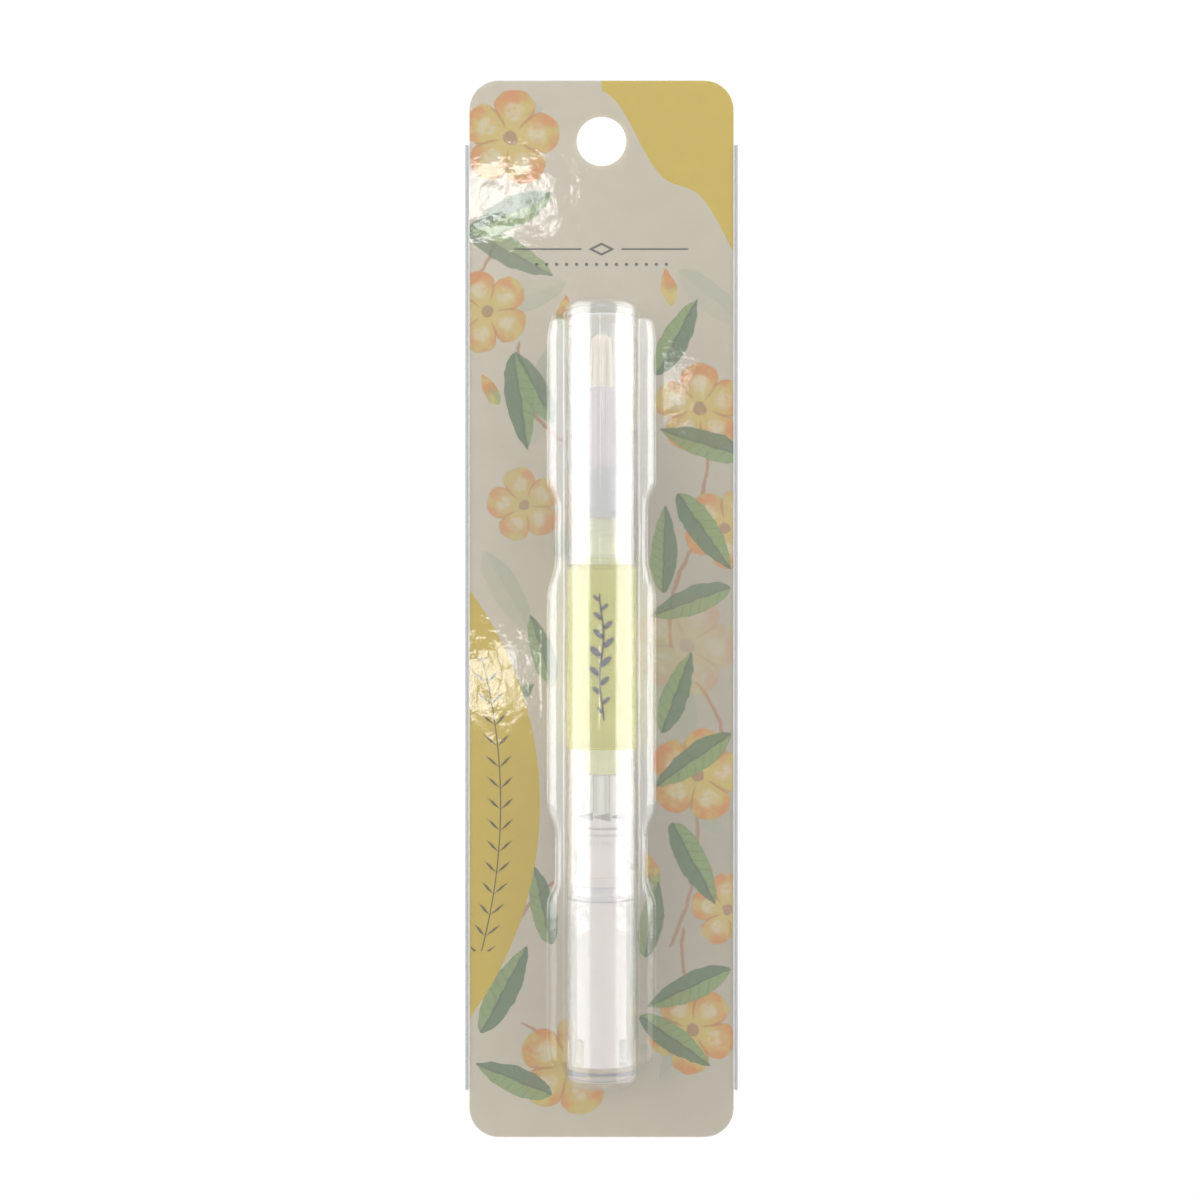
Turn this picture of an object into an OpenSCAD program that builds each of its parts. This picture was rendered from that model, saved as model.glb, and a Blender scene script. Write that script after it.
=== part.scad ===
// Twist-up cuticle oil brush pen in a clear slide blister on a hanging card.
// The origin is the centre of the card's hanging hole, on the card's middle plane.
// +Z is up, the front faces -Y, and every length is in millimetres.

/* [Card] */
// Width of the backing card
card_w = 45; // [40:0.5:56]
// Height of the backing card
card_h = 180; // [172:1:220]
// Thickness of the card board
card_t = 0.45; // [0.3:0.05:0.9]
// Corner radius of the card and of the clear sheet over it
card_corner_r = 5; // [2:0.5:7]
// Diameter of the hanging hole in the card
hang_d = 8.5; // [6:0.5:10]
// Distance from the card's top edge to the middle of the hanging hole
hang_drop = 10.3; // [8.5:0.1:14]

/* [Clear blister] */
// Thickness of the clear sheet
sheet_t = 0.3; // [0.2:0.05:0.5]
// Gap between the clear sheet and the card
sheet_gap = 0.1; // [0.05:0.05:0.3]
// Diameter of the hole in the clear sheet around the hanging hole
sheet_hole_d = 9.8; // [8.5:0.1:12]
// Gap between the card's long edge and the inside of the folded channel
channel_gap = 0.45; // [0.2:0.05:1]
// Width of the lip that is folded behind the card
lip_w = 6; // [3:0.5:9]
// Height of the lower end of the folded channels above the card's bottom edge
channel_low = 8; // [6:0.5:16]
// Distance from the card's top edge to the upper end of the folded channels
channel_drop = 11; // [8:0.5:20]
// Height of the wide lower step of the pocket above the clear sheet
plinth_h = 3.2; // [2:0.1:4.5]
// Width of the lower step at its lobes
plinth_w = 18.2; // [17:0.1:24]
// Width of the lower step at its waists
waist_w = 15.4; // [14.4:0.1:17]
// How far the lower step stops short of the pocket at each end
plinth_inset = 2.2; // [1:0.1:5]
// Gap between the pen and the pocket round it
pocket_gap = 0.2; // [0.15:0.05:0.6]
// Gap between the pen and each end of the pocket
pocket_end_gap = 0.75; // [0.4:0.05:2]
// Radius of the pocket's end edges
pocket_edge_r = 1.5; // [0.6:0.1:3]
// Gap between the back of the pen and the card
pen_card_gap = 0.3; // [0.2:0.05:0.8]

/* [Pen] */
// Height of the pen's lower end above the card's bottom edge
pen_lift = 11.6; // [8:0.1:14]
// Outer diameter of cap, barrel and knob
pen_d = 11.5; // [11:0.1:13]

/* [Barrel] */
// Length of the barrel from the knob to the cap
barrel_len = 55.6; // [53:0.2:64]
// Wall of the barrel
barrel_wall = 1.05; // [0.8:0.05:1.2]
// Length of the neck that the cap slips over
neck_len = 7.9; // [7:0.1:10]
// Gap between the neck and the inside of the cap
neck_gap = 0.2; // [0.1:0.05:0.5]
// Bore of the neck
neck_bore_d = 6.8; // [6:0.1:7.4]
// Thickness of the shoulder between the barrel's bore and the neck
shoulder_t = 0.8; // [0.5:0.05:1.2]
// Height of one raised sealing ring on the neck
neck_ring_h = 0.5; // [0.3:0.05:0.6]

/* [Cap] */
// Length of the cap
cap_len = 43.1; // [42:0.1:50]
// Wall of the cap
cap_wall = 1; // [0.8:0.05:1.1]
// Thickness of the cap's closed end
cap_end_t = 1.4; // [1:0.1:2]
// Radius of the edge round the cap's closed end
cap_edge_r = 1.2; // [0.5:0.1:2]
// Radius of the edge round the inside of that end
cap_in_edge_r = 0.8; // [0.3:0.1:1.5]
// Diameter of the moulding gate mark inside the cap's end
gate_d = 1.2; // [0.8:0.1:2]

/* [Brush] */
// Length of the collar that stands on the neck
collar_len = 8.5; // [7:0.1:10]
// Diameter of the collar
collar_d = 6.2; // [5.6:0.1:7]
// How far the collar's flange is set in from the edge of the neck
flange_inset = 0.15; // [0.05:0.05:0.5]
// Thickness of the collar's flange
flange_t = 1; // [0.6:0.1:1.6]
// Length of the plug that is pressed into the neck
plug_len = 6.4; // [5:0.1:7]
// Outer diameter of the brush's ferrule
ferrule_d = 4.4; // [4:0.1:4.8]
// Length of the ferrule above the collar
ferrule_len = 13.3; // [11:0.1:15]
// Wall of the ferrule
ferrule_wall = 0.25; // [0.15:0.05:0.4]
// Length of the bristles outside the ferrule
bristle_len = 9.4; // [8:0.1:10]
// Number of bristles
bristle_count = 340; // [300:10:380]
// Radius of one bristle at its root
bristle_r = 0.05; // [0.04:0.005:0.055]
// Outer diameter of the feed tube
tube_d = 1.2; // [1:0.1:1.6]
// Wall of the feed tube
tube_wall = 0.2; // [0.15:0.05:0.3]

/* [Knob] */
// Length of the twist knob
knob_len = 30.1; // [26:0.1:36]
// Thickness of the knob's solid base
knob_base_t = 2.5; // [1.5:0.1:4]
// Wall of the knob at its open end
knob_rim_wall = 0.85; // [0.7:0.05:0.9]
// Wall of the knob where it meets the base
knob_foot_wall = 1.2; // [1:0.05:1.3]
// Radius of the edge round the knob's base
knob_edge_r = 0.8; // [0.3:0.1:1.5]
// Height of the wings that drive the core, at their peak
wing_h = 4.4; // [3:0.1:6]
// Thickness of a wing
wing_t = 1.2; // [0.8:0.1:1.6]
// Distance of a wing's inner edge from the axis
wing_in_r = 2.8; // [2.6:0.1:3.2]

/* [Drive] */
// Gap between the white drive core and the foot of the knob's wall
core_gap = 0.4; // [0.2:0.05:0.7]
// Width of the retaining ring, from its bore to the barrel
retainer_w = 1; // [0.6:0.05:1.2]
// Length of the retaining ring
retainer_len = 1.4; // [1:0.1:2]
// Distance from the barrel's lower end to the retaining ring
retainer_inset = 0.8; // [0.4:0.1:1.2]
// Length of the core's collar above the retaining ring
core_collar_len = 1.5; // [1:0.1:2.5]
// Length of the core's shank between its collar and the ratchet ring
core_shank_len = 5.9; // [5:0.1:7]
// Gap between the core's shank and the barrel
shank_gap = 0.7; // [0.3:0.05:1]
// Length of the ratchet ring below its teeth
ratchet_len = 3.4; // [3:0.1:4]
// Bore of the ratchet ring
ratchet_bore_d = 6.4; // [6.2:0.1:6.8]
// Number of ratchet teeth
tooth_count = 10; // [8:1:16]
// Height of a ratchet tooth
tooth_h = 0.75; // [0.4:0.05:1]
// Length of the threaded insert above its teeth
nut_len = 6.1; // [5:0.1:7]
// Number of ribs round the threaded insert
nut_rib_count = 16; // [8:1:24]
// Depth of a rib on the threaded insert
nut_rib_depth = 0.4; // [0.2:0.05:0.5]
// Lead of the feed screw, its travel for one turn
lead = 3; // [2:0.5:4]
// Outer diameter of the feed screw's thread
screw_d = 4.2; // [4:0.1:4.4]
// Depth of the feed screw's thread
thread_depth = 0.55; // [0.4:0.05:0.6]
// Width of the feed screw across its two flats
screw_flats = 3.3; // [3.1:0.1:3.4]
// Distance from the knob's base to the lower end of the feed screw
screw_foot_gap = 2.4; // [1:0.1:4]

/* [Piston and oil] */
// Length of the piston
piston_len = 4; // [3.5:0.1:6]
// Length of one sealing lip of the piston
piston_lip_len = 0.7; // [0.4:0.05:1]
// Depth of the groove between the piston's lips
piston_groove = 0.5; // [0.3:0.05:0.7]

/* [Hidden] */
$fn = 96;

// Clearances
// Gap of pieces that are pressed together
press_gap = 0.02;
// Gap of pieces that turn or slide in each other
run_gap = 0.05;
// Gap between end faces that pass each other
face_gap = 0.1;
// Gap between the thread of the feed screw and that of its insert
thread_gap = 0.25;
// How far a cut runs past the surface that it opens
over = 0.5;

// Card and sheet
card_top = hang_drop;
card_bottom = hang_drop - card_h;
sheet_in = card_t / 2 + sheet_gap;
sheet_out = sheet_in + sheet_t;
channel_x = card_w / 2 + channel_gap - sheet_in;
channel_z0 = card_bottom + channel_low;
channel_z1 = card_top - channel_drop;

// Pen, with heights measured up its axis from the knob's base
pen_r = pen_d / 2;
pen_y = -(card_t / 2 + pen_card_gap + pen_r);
pen_z = card_bottom + pen_lift;
barrel_z0 = knob_len + face_gap;
shoulder_z = knob_len + barrel_len;
neck_top = shoulder_z + neck_len;
bore_r = pen_r - barrel_wall;
bore_top = shoulder_z - shoulder_t;
pen_len = shoulder_z + cap_len;

// Pocket round the pen
pocket_in_r = pen_r + pocket_gap;
pocket_out_r = pocket_in_r + sheet_t;
pocket_z0 = pen_z - pocket_end_gap;
pocket_len = pen_len + 2 * pocket_end_gap;
plinth_z0 = pocket_z0 - sheet_t + plinth_inset;
plinth_len = pocket_len + 2 * (sheet_t - plinth_inset);
// Where each lobe and waist of the lower step starts and ends, up its length
lobe_shares = [[0, 0.213], [0.348, 0.625], [0.782, 1]];
waist_shares = [[0.247, 0.308], [0.675, 0.747]];
// Length of the tapered end of a lobe and how much it draws in, of the step's length and width
lobe_end_share = 0.038;
lobe_draw_share = 0.11;
outline_steps = 8;

// Brush
collar_top = neck_top + collar_len;
ferrule_sink = collar_len * 0.6;
ferrule_top = collar_top + ferrule_len;
plug_z0 = neck_top - plug_len;
plug_bore_d = tube_d + 2 * press_gap;
tube_z0 = neck_top - plug_len / 3;
backing_t = 1;
collar_groove_count = 4;
collar_groove_h = collar_len / 24;
collar_groove_depth = collar_d / 60;
// Taper of the tuft from root to tip, how much its rim is lower than its middle, and the
// spread of the tips' heights, of the bristles' length
tuft_taper_share = 0.12;
tuft_dome_share = 0.09;
tuft_ragged_share = 0.05;
// Length of a bristle's pointed tip, of its whole length
tip_share = 0.12;
golden_angle = 180 * (3 - sqrt(5));

// Cap
cap_in_r = pen_r - cap_wall;
neck_ring_r = cap_in_r - run_gap;
neck_r = cap_in_r - neck_gap;
gate_h = cap_end_t / 7;
// Places of the neck's rings, up its length
neck_ring_shares = [0.19, 0.62, 0.76];

// Drive
core_r = pen_r - knob_foot_wall - core_gap;
retainer_in_r = bore_r - retainer_w;
shank_r = bore_r - shank_gap;
retainer_z0 = barrel_z0 + retainer_inset;
core_z0 = knob_base_t + press_gap;
core_collar_z0 = retainer_z0 + retainer_len + face_gap;
core_shank_z0 = core_collar_z0 + core_collar_len;
ratchet_z0 = core_shank_z0 + core_shank_len;
ratchet_top = ratchet_z0 + ratchet_len;
core_top = ratchet_top - face_gap;
nut_tooth_z0 = ratchet_top + tooth_h + face_gap;
nut_z0 = nut_tooth_z0 + tooth_h;
nut_top = nut_z0 + nut_len;
tooth_ring_r = bore_r - 2 * face_gap;
tooth_in_r = ratchet_bore_d / 2 + press_gap;
ratchet_groove_count = 2;
ratchet_groove_h = ratchet_len / 8;
ratchet_groove_depth = (tooth_ring_r - tooth_in_r) / 3;
core_bore_r = screw_d / 2 + 1.3 * thread_gap;
key_len = core_shank_len / 2 + ratchet_len;
// Distance of the core's two flats from the axis, just inside the wings
flat_x = wing_in_r - run_gap - press_gap;
// Turns of the wings about the axis, one at each side
wing_turns = [0, 180];
// Place of a wing's peak on its way out to the wall, and how high its two ends are
wing_peak_share = 0.6;
wing_outer_share = 0.8;
wing_inner_share = 0.66;

// Piston, its socket and the head of the feed screw in it
piston_z0 = nut_top + face_gap;
piston_top = piston_z0 + piston_len;
piston_r = bore_r - run_gap;
head_d = screw_d * 0.8;
head_h = piston_len * 0.3;
head_top = piston_top - piston_len * 0.3;
stem_d = head_d * 0.6;
socket_gap = face_gap;
screw_z0 = knob_base_t + screw_foot_gap;
thread_top = nut_top - face_gap;
thread_len = thread_top - screw_z0;
// Share of a turn that the thread's crest and root take
crest_share = 0.3;
root_share = 0.3;
thread_sides = 12;
turn_slices = 10;

// Oil
oil_z0 = piston_top + run_gap;
oil_top = bore_top - press_gap;

// Height of the smooth step from 0 to 1 at t
function smooth(t) = t * t * (3 - 2 * t);

// Outline of the pocket's lower step: a list of [share up its length, share of the way from
// waist to lobe] for each bend, with smooth runs between
function bend_run(s0, s1, w0, w1) =
    [for (i = [0:outline_steps]) [s0 + (s1 - s0) * i / outline_steps,
                                  w0 + (w1 - w0) * smooth(i / outline_steps)]];
bends = concat(
    bend_run(lobe_shares[0][1], waist_shares[0][0], 1, 0),
    bend_run(waist_shares[0][1], lobe_shares[1][0], 0, 1),
    bend_run(lobe_shares[1][1], waist_shares[1][0], 1, 0),
    bend_run(waist_shares[1][1], lobe_shares[2][0], 0, 1));

// Right half of that outline from its lower to its upper end, for one wall of the sheet
function lobe_end(half_w, len, low) =
    [for (i = [0:outline_steps])
        let (a = 90 * (low ? i : outline_steps - i) / outline_steps,
             z = len * lobe_end_share * (1 - cos(a)))
        [half_w * (1 - lobe_draw_share * (1 - sin(a))), low ? z : len - z]];
function half_outline(lobe, waist, len) = concat(
    lobe_end(lobe, len, true),
    [for (b = bends) [waist + (lobe - waist) * b[1], len * b[0]]],
    lobe_end(lobe, len, false));
function mirrored(points) =
    [for (i = [len(points) - 1:-1:0]) [-points[i][0], points[i][1]]];

// A flat shape drawn in X and Z, given its depth from y0 to y1
module upright(y0, y1) {
    translate([0, y1, 0]) rotate([90, 0, 0]) linear_extrude(y1 - y0) children();
}

// Puts a piece on the pen's axis, with heights measured from the knob's base
module on_pen() {
    translate([0, pen_y, pen_z]) children();
}

// A tube on the pen's axis between two heights
module tube(z0, z1, r_out, r_in) {
    translate([0, 0, z0]) difference() {
        cylinder(h = z1 - z0, r = r_out);
        translate([0, 0, -over]) cylinder(h = z1 - z0 + 2 * over, r = r_in);
    }
}

// A shape turned on the pen's axis from [radius, height] points
module turned(points) {
    rotate_extrude() polygon(points);
}

// Quarter circle from the side at radius r down or up to a flat end
function round_edge(r, z, edge, up) =
    [for (i = [0:outline_steps]) let (a = 90 * (up ? i : outline_steps - i) / outline_steps)
        [r - edge + edge * cos(a), up ? z - edge + edge * sin(a) : z + edge - edge * sin(a)]];

module card_outline() {
    half_w = card_w / 2 - card_corner_r;
    translate([-card_w / 2, card_bottom + card_corner_r])
        square([card_w, card_h - 2 * card_corner_r]);
    translate([-half_w, card_bottom]) square([2 * half_w, card_h]);
    for (x = [-half_w, half_w], z = [card_bottom + card_corner_r, card_top - card_corner_r])
        translate([x, z]) circle(card_corner_r);
}

module backing_card() {
    color("#c9beb0") difference() {
        upright(-card_t / 2, card_t / 2) card_outline();
        rotate([90, 0, 0]) cylinder(h = card_t + 2 * over, d = hang_d, center = true);
    }
}

// The pocket's lower step for one wall of the sheet, from the sheet to its top
module plinth(wall, y_front, y_back) {
    right = half_outline(plinth_w / 2 - wall, waist_w / 2 - wall, plinth_len - 2 * wall);
    translate([0, 0, plinth_z0 + wall])
        upright(y_front, y_back) polygon(concat(right, mirrored(right)));
}

// Half of the pocket's upper step beside its axis, for one wall of the sheet
module pocket_half(wall) {
    r = pocket_out_r - wall;
    z0 = pocket_z0 - sheet_t + wall;
    len = pocket_len + 2 * (sheet_t - wall);
    edge = pocket_edge_r - wall;
    translate([0, z0 + edge]) square([r, len - 2 * edge]);
    translate([0, z0]) square([r - edge, len]);
    for (z = [z0 + edge, z0 + len - edge]) translate([r - edge, z]) circle(edge);
}

// The pocket's upper step, rounded in front of the pen and straight behind its axis
module pocket(wall, y_back) {
    translate([0, pen_y, 0]) rotate_extrude() intersection() {
        pocket_half(wall);
        translate([0, card_bottom]) square([pen_d, card_h]);
    }
    upright(pen_y, y_back) {
        pocket_half(wall);
        mirror([1, 0]) pocket_half(wall);
    }
}

// One long edge of the sheet, folded round the card's edge into a channel
module folded_edge() {
    inner_x = channel_x - lip_w;
    translate([0, 0, channel_z0]) linear_extrude(channel_z1 - channel_z0) {
        translate([inner_x, -sheet_out]) square([lip_w, sheet_t]);
        translate([inner_x, sheet_in]) square([lip_w, sheet_t]);
        translate([channel_x, 0]) intersection() {
            difference() {
                circle(sheet_out);
                circle(sheet_in);
            }
            translate([0, -sheet_out]) square([sheet_out, 2 * sheet_out]);
        }
    }
}

module blister_shell() {
    color("#dfe7ea", 0.35) difference() {
        union() {
            upright(-sheet_out, -sheet_in) card_outline();
            folded_edge();
            mirror([1, 0, 0]) folded_edge();
            plinth(0, -sheet_in - plinth_h, -sheet_in);
            pocket(0, -sheet_in);
        }
        plinth(sheet_t, sheet_t - sheet_in - plinth_h, over - sheet_in);
        pocket(sheet_t, over - sheet_in);
        rotate([90, 0, 0]) cylinder(h = sheet_out + over, d = sheet_hole_d);
    }
}

module cap() {
    in_top = pen_len - cap_end_t;
    rim_z = shoulder_z + run_gap;
    in_edge = round_edge(cap_in_r, in_top, cap_in_edge_r, true);
    color("#eef1f2", 0.5) on_pen() {
        turned(concat(
            [[cap_in_r, rim_z], [pen_r, rim_z]],
            round_edge(pen_r, pen_len, cap_edge_r, true),
            [[0, pen_len], [0, in_top]],
            [for (i = [outline_steps:-1:0]) in_edge[i]]));
        translate([0, 0, in_top - gate_h]) cylinder(h = 2 * gate_h, d = gate_d);
    }
}

module barrel() {
    color("#eef1f2", 0.5) on_pen() difference() {
        union() {
            translate([0, 0, barrel_z0]) cylinder(h = shoulder_z - barrel_z0, r = pen_r);
            translate([0, 0, shoulder_z - over]) cylinder(h = neck_len + over, r = neck_r);
            for (share = neck_ring_shares)
                translate([0, 0, shoulder_z + neck_len * share - neck_ring_h / 2])
                    cylinder(h = neck_ring_h, r = neck_ring_r);
        }
        translate([0, 0, barrel_z0 - over]) cylinder(h = bore_top - barrel_z0 + over, r = bore_r);
        translate([0, 0, bore_top - over]) cylinder(h = neck_len + shoulder_t + 2 * over,
                                                    d = neck_bore_d);
    }
}

module neck_plug() {
    plug_r = neck_bore_d / 2 - press_gap;
    collar_r = collar_d / 2;
    groove_pitch = (collar_len - flange_t) / (collar_groove_count + 1);
    color("#b9bcc0", 0.8) on_pen() difference() {
        union() {
            translate([0, 0, plug_z0]) cylinder(h = plug_len + over, r = plug_r);
            translate([0, 0, neck_top + press_gap])
                cylinder(h = flange_t, r = neck_r - flange_inset);
            translate([0, 0, neck_top + press_gap])
                cylinder(h = collar_len - press_gap, r = collar_r);
        }
        for (i = [1:collar_groove_count])
            tube(neck_top + flange_t + groove_pitch * i,
                 neck_top + flange_t + groove_pitch * i + collar_groove_h,
                 collar_r + over, collar_r - collar_groove_depth);
        translate([0, 0, plug_z0 - over])
            cylinder(h = plug_len + collar_len + 2 * over, d = plug_bore_d);
        translate([0, 0, collar_top - ferrule_sink])
            cylinder(h = ferrule_sink + over, r = ferrule_d / 2 + press_gap);
    }
}

module ferrule() {
    color("#d9cdd4", 0.6) on_pen()
        tube(collar_top - ferrule_sink + press_gap, ferrule_top, ferrule_d / 2,
             ferrule_d / 2 - ferrule_wall);
}

module feed_tube() {
    color("#e6e2e0", 0.6) on_pen() tube(tube_z0, ferrule_top, tube_d / 2, tube_d / 2 - tube_wall);
}

// One bristle from its root in the backing to its point, as rings of three corners
function bristle_ring(x, y, z, r, turn) =
    [for (k = [0:2]) [x + r * cos(turn + 120 * k), y + r * sin(turn + 120 * k), z]];
function bristle_points(i, r_in, r_out) =
    let (
        r = sqrt(r_in * r_in + (r_out * r_out - r_in * r_in) * (i + 0.5) / bristle_count),
        a = i * golden_angle,
        tall = bristle_len * (1 - tuft_dome_share * pow(r / r_out, 2)
                              - tuft_ragged_share * (0.5 + 0.5 * sin(i * 97))),
        neck_share = 1 - tip_share,
        r_neck = r * (1 - tuft_taper_share * neck_share * tall / bristle_len),
        r_tip = r * (1 - tuft_taper_share * tall / bristle_len)
    )
    concat(
        bristle_ring(r * cos(a), r * sin(a), -backing_t / 2, bristle_r, a),
        bristle_ring(r_neck * cos(a), r_neck * sin(a), tall * neck_share, bristle_r * neck_share, a),
        [[r_tip * cos(a), r_tip * sin(a), tall]]);
bristle_faces = [
    [0, 1, 2], [0, 3, 1], [1, 3, 4], [1, 4, 2], [2, 4, 5], [2, 5, 0], [0, 5, 3],
    [3, 6, 4], [4, 6, 5], [5, 6, 3]
];

module bristles() {
    r_out = ferrule_d / 2 - ferrule_wall - press_gap;
    r_in = tube_d / 2 + press_gap;
    point_count = 7;
    color("#f0e4cf") on_pen() translate([0, 0, ferrule_top]) {
        translate([0, 0, -ferrule_top]) tube(ferrule_top - backing_t, ferrule_top, r_out, r_in);
        polyhedron(
            points = [for (i = [0:bristle_count - 1])
                each bristle_points(i, r_in + bristle_r, r_out - bristle_r)],
            faces = [for (i = [0:bristle_count - 1], f = bristle_faces)
                [for (v = f) v + point_count * i]]);
    }
}

module neck_oil() {
    color("#d6d68a", 0.7) on_pen()
        translate([0, 0, bore_top]) cylinder(h = plug_z0 - bore_top - press_gap,
                                             r = neck_bore_d / 2 - press_gap);
}

module oil() {
    color("#d6d68a", 0.7) on_pen()
        translate([0, 0, oil_z0]) cylinder(h = oil_top - oil_z0, r = bore_r - press_gap);
}

module piston() {
    lip_r = piston_r;
    body_r = piston_r - piston_groove;
    color("#e8e6d2", 0.8) on_pen() difference() {
        union() {
            translate([0, 0, piston_z0]) cylinder(h = piston_lip_len, r = lip_r);
            translate([0, 0, piston_z0]) cylinder(h = piston_len, r = body_r);
            translate([0, 0, piston_top - piston_lip_len]) cylinder(h = piston_lip_len, r = lip_r);
        }
        translate([0, 0, head_top - head_h - socket_gap])
            cylinder(h = head_h + 2 * socket_gap, r = head_d / 2 + socket_gap);
        translate([0, 0, piston_z0 - over])
            cylinder(h = piston_len, r = stem_d / 2 + socket_gap);
    }
}

// Radius of the thread's cross-section at angle a, for a root radius and a depth
function thread_r(a, root_r, depth) =
    let (t = a / 360,
         ramp = (1 - crest_share - root_share) / 2)
    root_r + depth * (t < crest_share ? 1 :
                      t < crest_share + ramp ? 1 - (t - crest_share) / ramp :
                      t < crest_share + ramp + root_share ? 0 :
                      (t - crest_share - ramp - root_share) / ramp);

// A right-handed thread between two heights, in step with every other one on the axis
module thread(z0, z1, gap) {
    root_r = screw_d / 2 - thread_depth + gap;
    turns = (z1 - z0) / lead;
    translate([0, 0, z0]) rotate([0, 0, 360 * z0 / lead])
        linear_extrude(z1 - z0, twist = -360 * turns, slices = ceil(turns * turn_slices),
                       segments = thread_sides, $fn = thread_sides)
            polygon([for (i = [0:thread_sides - 1])
                let (a = 360 * i / thread_sides, r = thread_r(a, root_r, thread_depth))
                [r * cos(a), r * sin(a)]]);
}

module feed_screw() {
    color("#f2f2f0") on_pen() {
        intersection() {
            thread(screw_z0, thread_top, 0);
            translate([-screw_d, -screw_flats / 2, screw_z0 - over])
                cube([2 * screw_d, screw_flats, thread_len + 2 * over]);
        }
        translate([0, 0, thread_top - over])
            cylinder(h = head_top - thread_top + over - head_h / 2, d = stem_d);
        translate([0, 0, head_top - head_h]) cylinder(h = head_h, d = head_d);
    }
}

// A crown of sawteeth that stands on z = 0 and points up
module saw_crown(r_out, r_in) {
    tooth_w = 2 * PI * r_out / tooth_count;
    intersection() {
        tube(-press_gap, tooth_h, r_out, r_in);
        for (i = [0:tooth_count - 1])
            rotate([0, 0, 360 * i / tooth_count]) rotate([90, 0, 90])
                linear_extrude(r_out + over)
                    polygon([[0, -over], [tooth_w, -over], [tooth_w, 0], [0, tooth_h]]);
    }
}

module screw_nut() {
    rib_r = bore_r - press_gap;
    body_r = rib_r - nut_rib_depth;
    rib_w = PI * rib_r / nut_rib_count;
    color("#e9eaea", 0.6) on_pen() difference() {
        union() {
            translate([0, 0, nut_z0]) cylinder(h = nut_len, r = body_r);
            intersection() {
                translate([0, 0, nut_z0]) cylinder(h = nut_len, r = rib_r);
                for (i = [0:nut_rib_count - 1])
                    rotate([0, 0, 360 * i / nut_rib_count])
                        translate([0, -rib_w / 2, nut_z0]) cube([rib_r + over, rib_w, nut_len]);
            }
            translate([0, 0, nut_z0]) mirror([0, 0, 1]) saw_crown(tooth_ring_r, tooth_in_r);
        }
        thread(nut_z0 - over, nut_top + over, thread_gap);
    }
}

module ratchet_ring() {
    groove_pitch = ratchet_len / (ratchet_groove_count + 1);
    color("#f4f4f2", 0.9) on_pen() {
        difference() {
            tube(ratchet_z0 + press_gap, ratchet_top, tooth_ring_r, tooth_in_r);
            for (i = [1:ratchet_groove_count])
                tube(ratchet_z0 + groove_pitch * i - ratchet_groove_h / 2,
                     ratchet_z0 + groove_pitch * i + ratchet_groove_h / 2,
                     tooth_ring_r + over, tooth_ring_r - ratchet_groove_depth);
        }
        translate([0, 0, ratchet_top]) saw_crown(tooth_ring_r, tooth_in_r);
    }
}

module drive_core() {
    collar_r = bore_r - face_gap;
    flat_h = wing_h + run_gap;
    color("#f8f8f6") on_pen() difference() {
        union() {
            translate([0, 0, core_z0]) cylinder(h = knob_len - core_z0, r = core_r);
            translate([0, 0, knob_len - over])
                cylinder(h = core_collar_z0 - knob_len + 2 * over, r = retainer_in_r - face_gap);
            translate([0, 0, core_collar_z0]) cylinder(h = core_collar_len, r = collar_r);
            translate([0, 0, core_shank_z0 - over])
                cylinder(h = core_shank_len + over, r = shank_r);
            translate([0, 0, ratchet_z0 - over])
                cylinder(h = core_top - ratchet_z0 + over, d = ratchet_bore_d);
        }
        translate([0, 0, core_z0 - over])
            cylinder(h = core_top - key_len - core_z0 + over, r = core_bore_r);
        intersection() {
            translate([0, 0, core_top - key_len - over])
                cylinder(h = key_len + 2 * over, r = screw_d / 2 + thread_gap);
            translate([-screw_d, -screw_flats / 2 - face_gap, core_top - key_len - over])
                cube([2 * screw_d, screw_flats + 2 * face_gap, key_len + 2 * over]);
        }
        for (a = wing_turns)
            rotate([0, 0, a]) translate([flat_x, -pen_r, core_z0 - over])
                cube([pen_r, 2 * pen_r, flat_h + over]);
    }
}

module retaining_ring() {
    color("#e4e8ea", 0.7) on_pen()
        tube(retainer_z0, retainer_z0 + retainer_len, bore_r - press_gap, retainer_in_r);
}

// One pointed wing inside the knob's foot
module wing() {
    wall_r = pen_r - knob_rim_wall;
    peak_r = wing_in_r + (wall_r - wing_in_r) * wing_peak_share;
    rotate([90, 0, 0]) linear_extrude(wing_t, center = true)
        polygon([[wing_in_r, 0], [wall_r, 0], [wall_r, wing_h * wing_outer_share],
                 [peak_r, wing_h], [wing_in_r, wing_h * wing_inner_share]]);
}

module knob_shell() {
    color("#eef1f2", 0.5) on_pen() {
        turned(concat(
            [[0, 0]],
            round_edge(pen_r, 0, knob_edge_r, false),
            [[pen_r, knob_len], [pen_r - knob_rim_wall, knob_len],
             [pen_r - knob_foot_wall, knob_base_t], [0, knob_base_t]]));
        for (a = wing_turns)
            rotate([0, 0, a]) translate([0, 0, knob_base_t - press_gap]) wing();
    }
}

backing_card();
blister_shell();
cap();
barrel();
neck_plug();
ferrule();
feed_tube();
bristles();
neck_oil();
oil();
piston();
feed_screw();
screw_nut();
ratchet_ring();
drive_core();
retaining_ring();
knob_shell();
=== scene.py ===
"""Looks for a twist-up cuticle oil pen in a clear slide blister on a printed hanging card.

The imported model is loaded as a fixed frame, and each operator dresses one piece or one group of
like pieces. Everything is in metres, in the frame's own axes: +Z up, the front facing -Y.
"""

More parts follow.
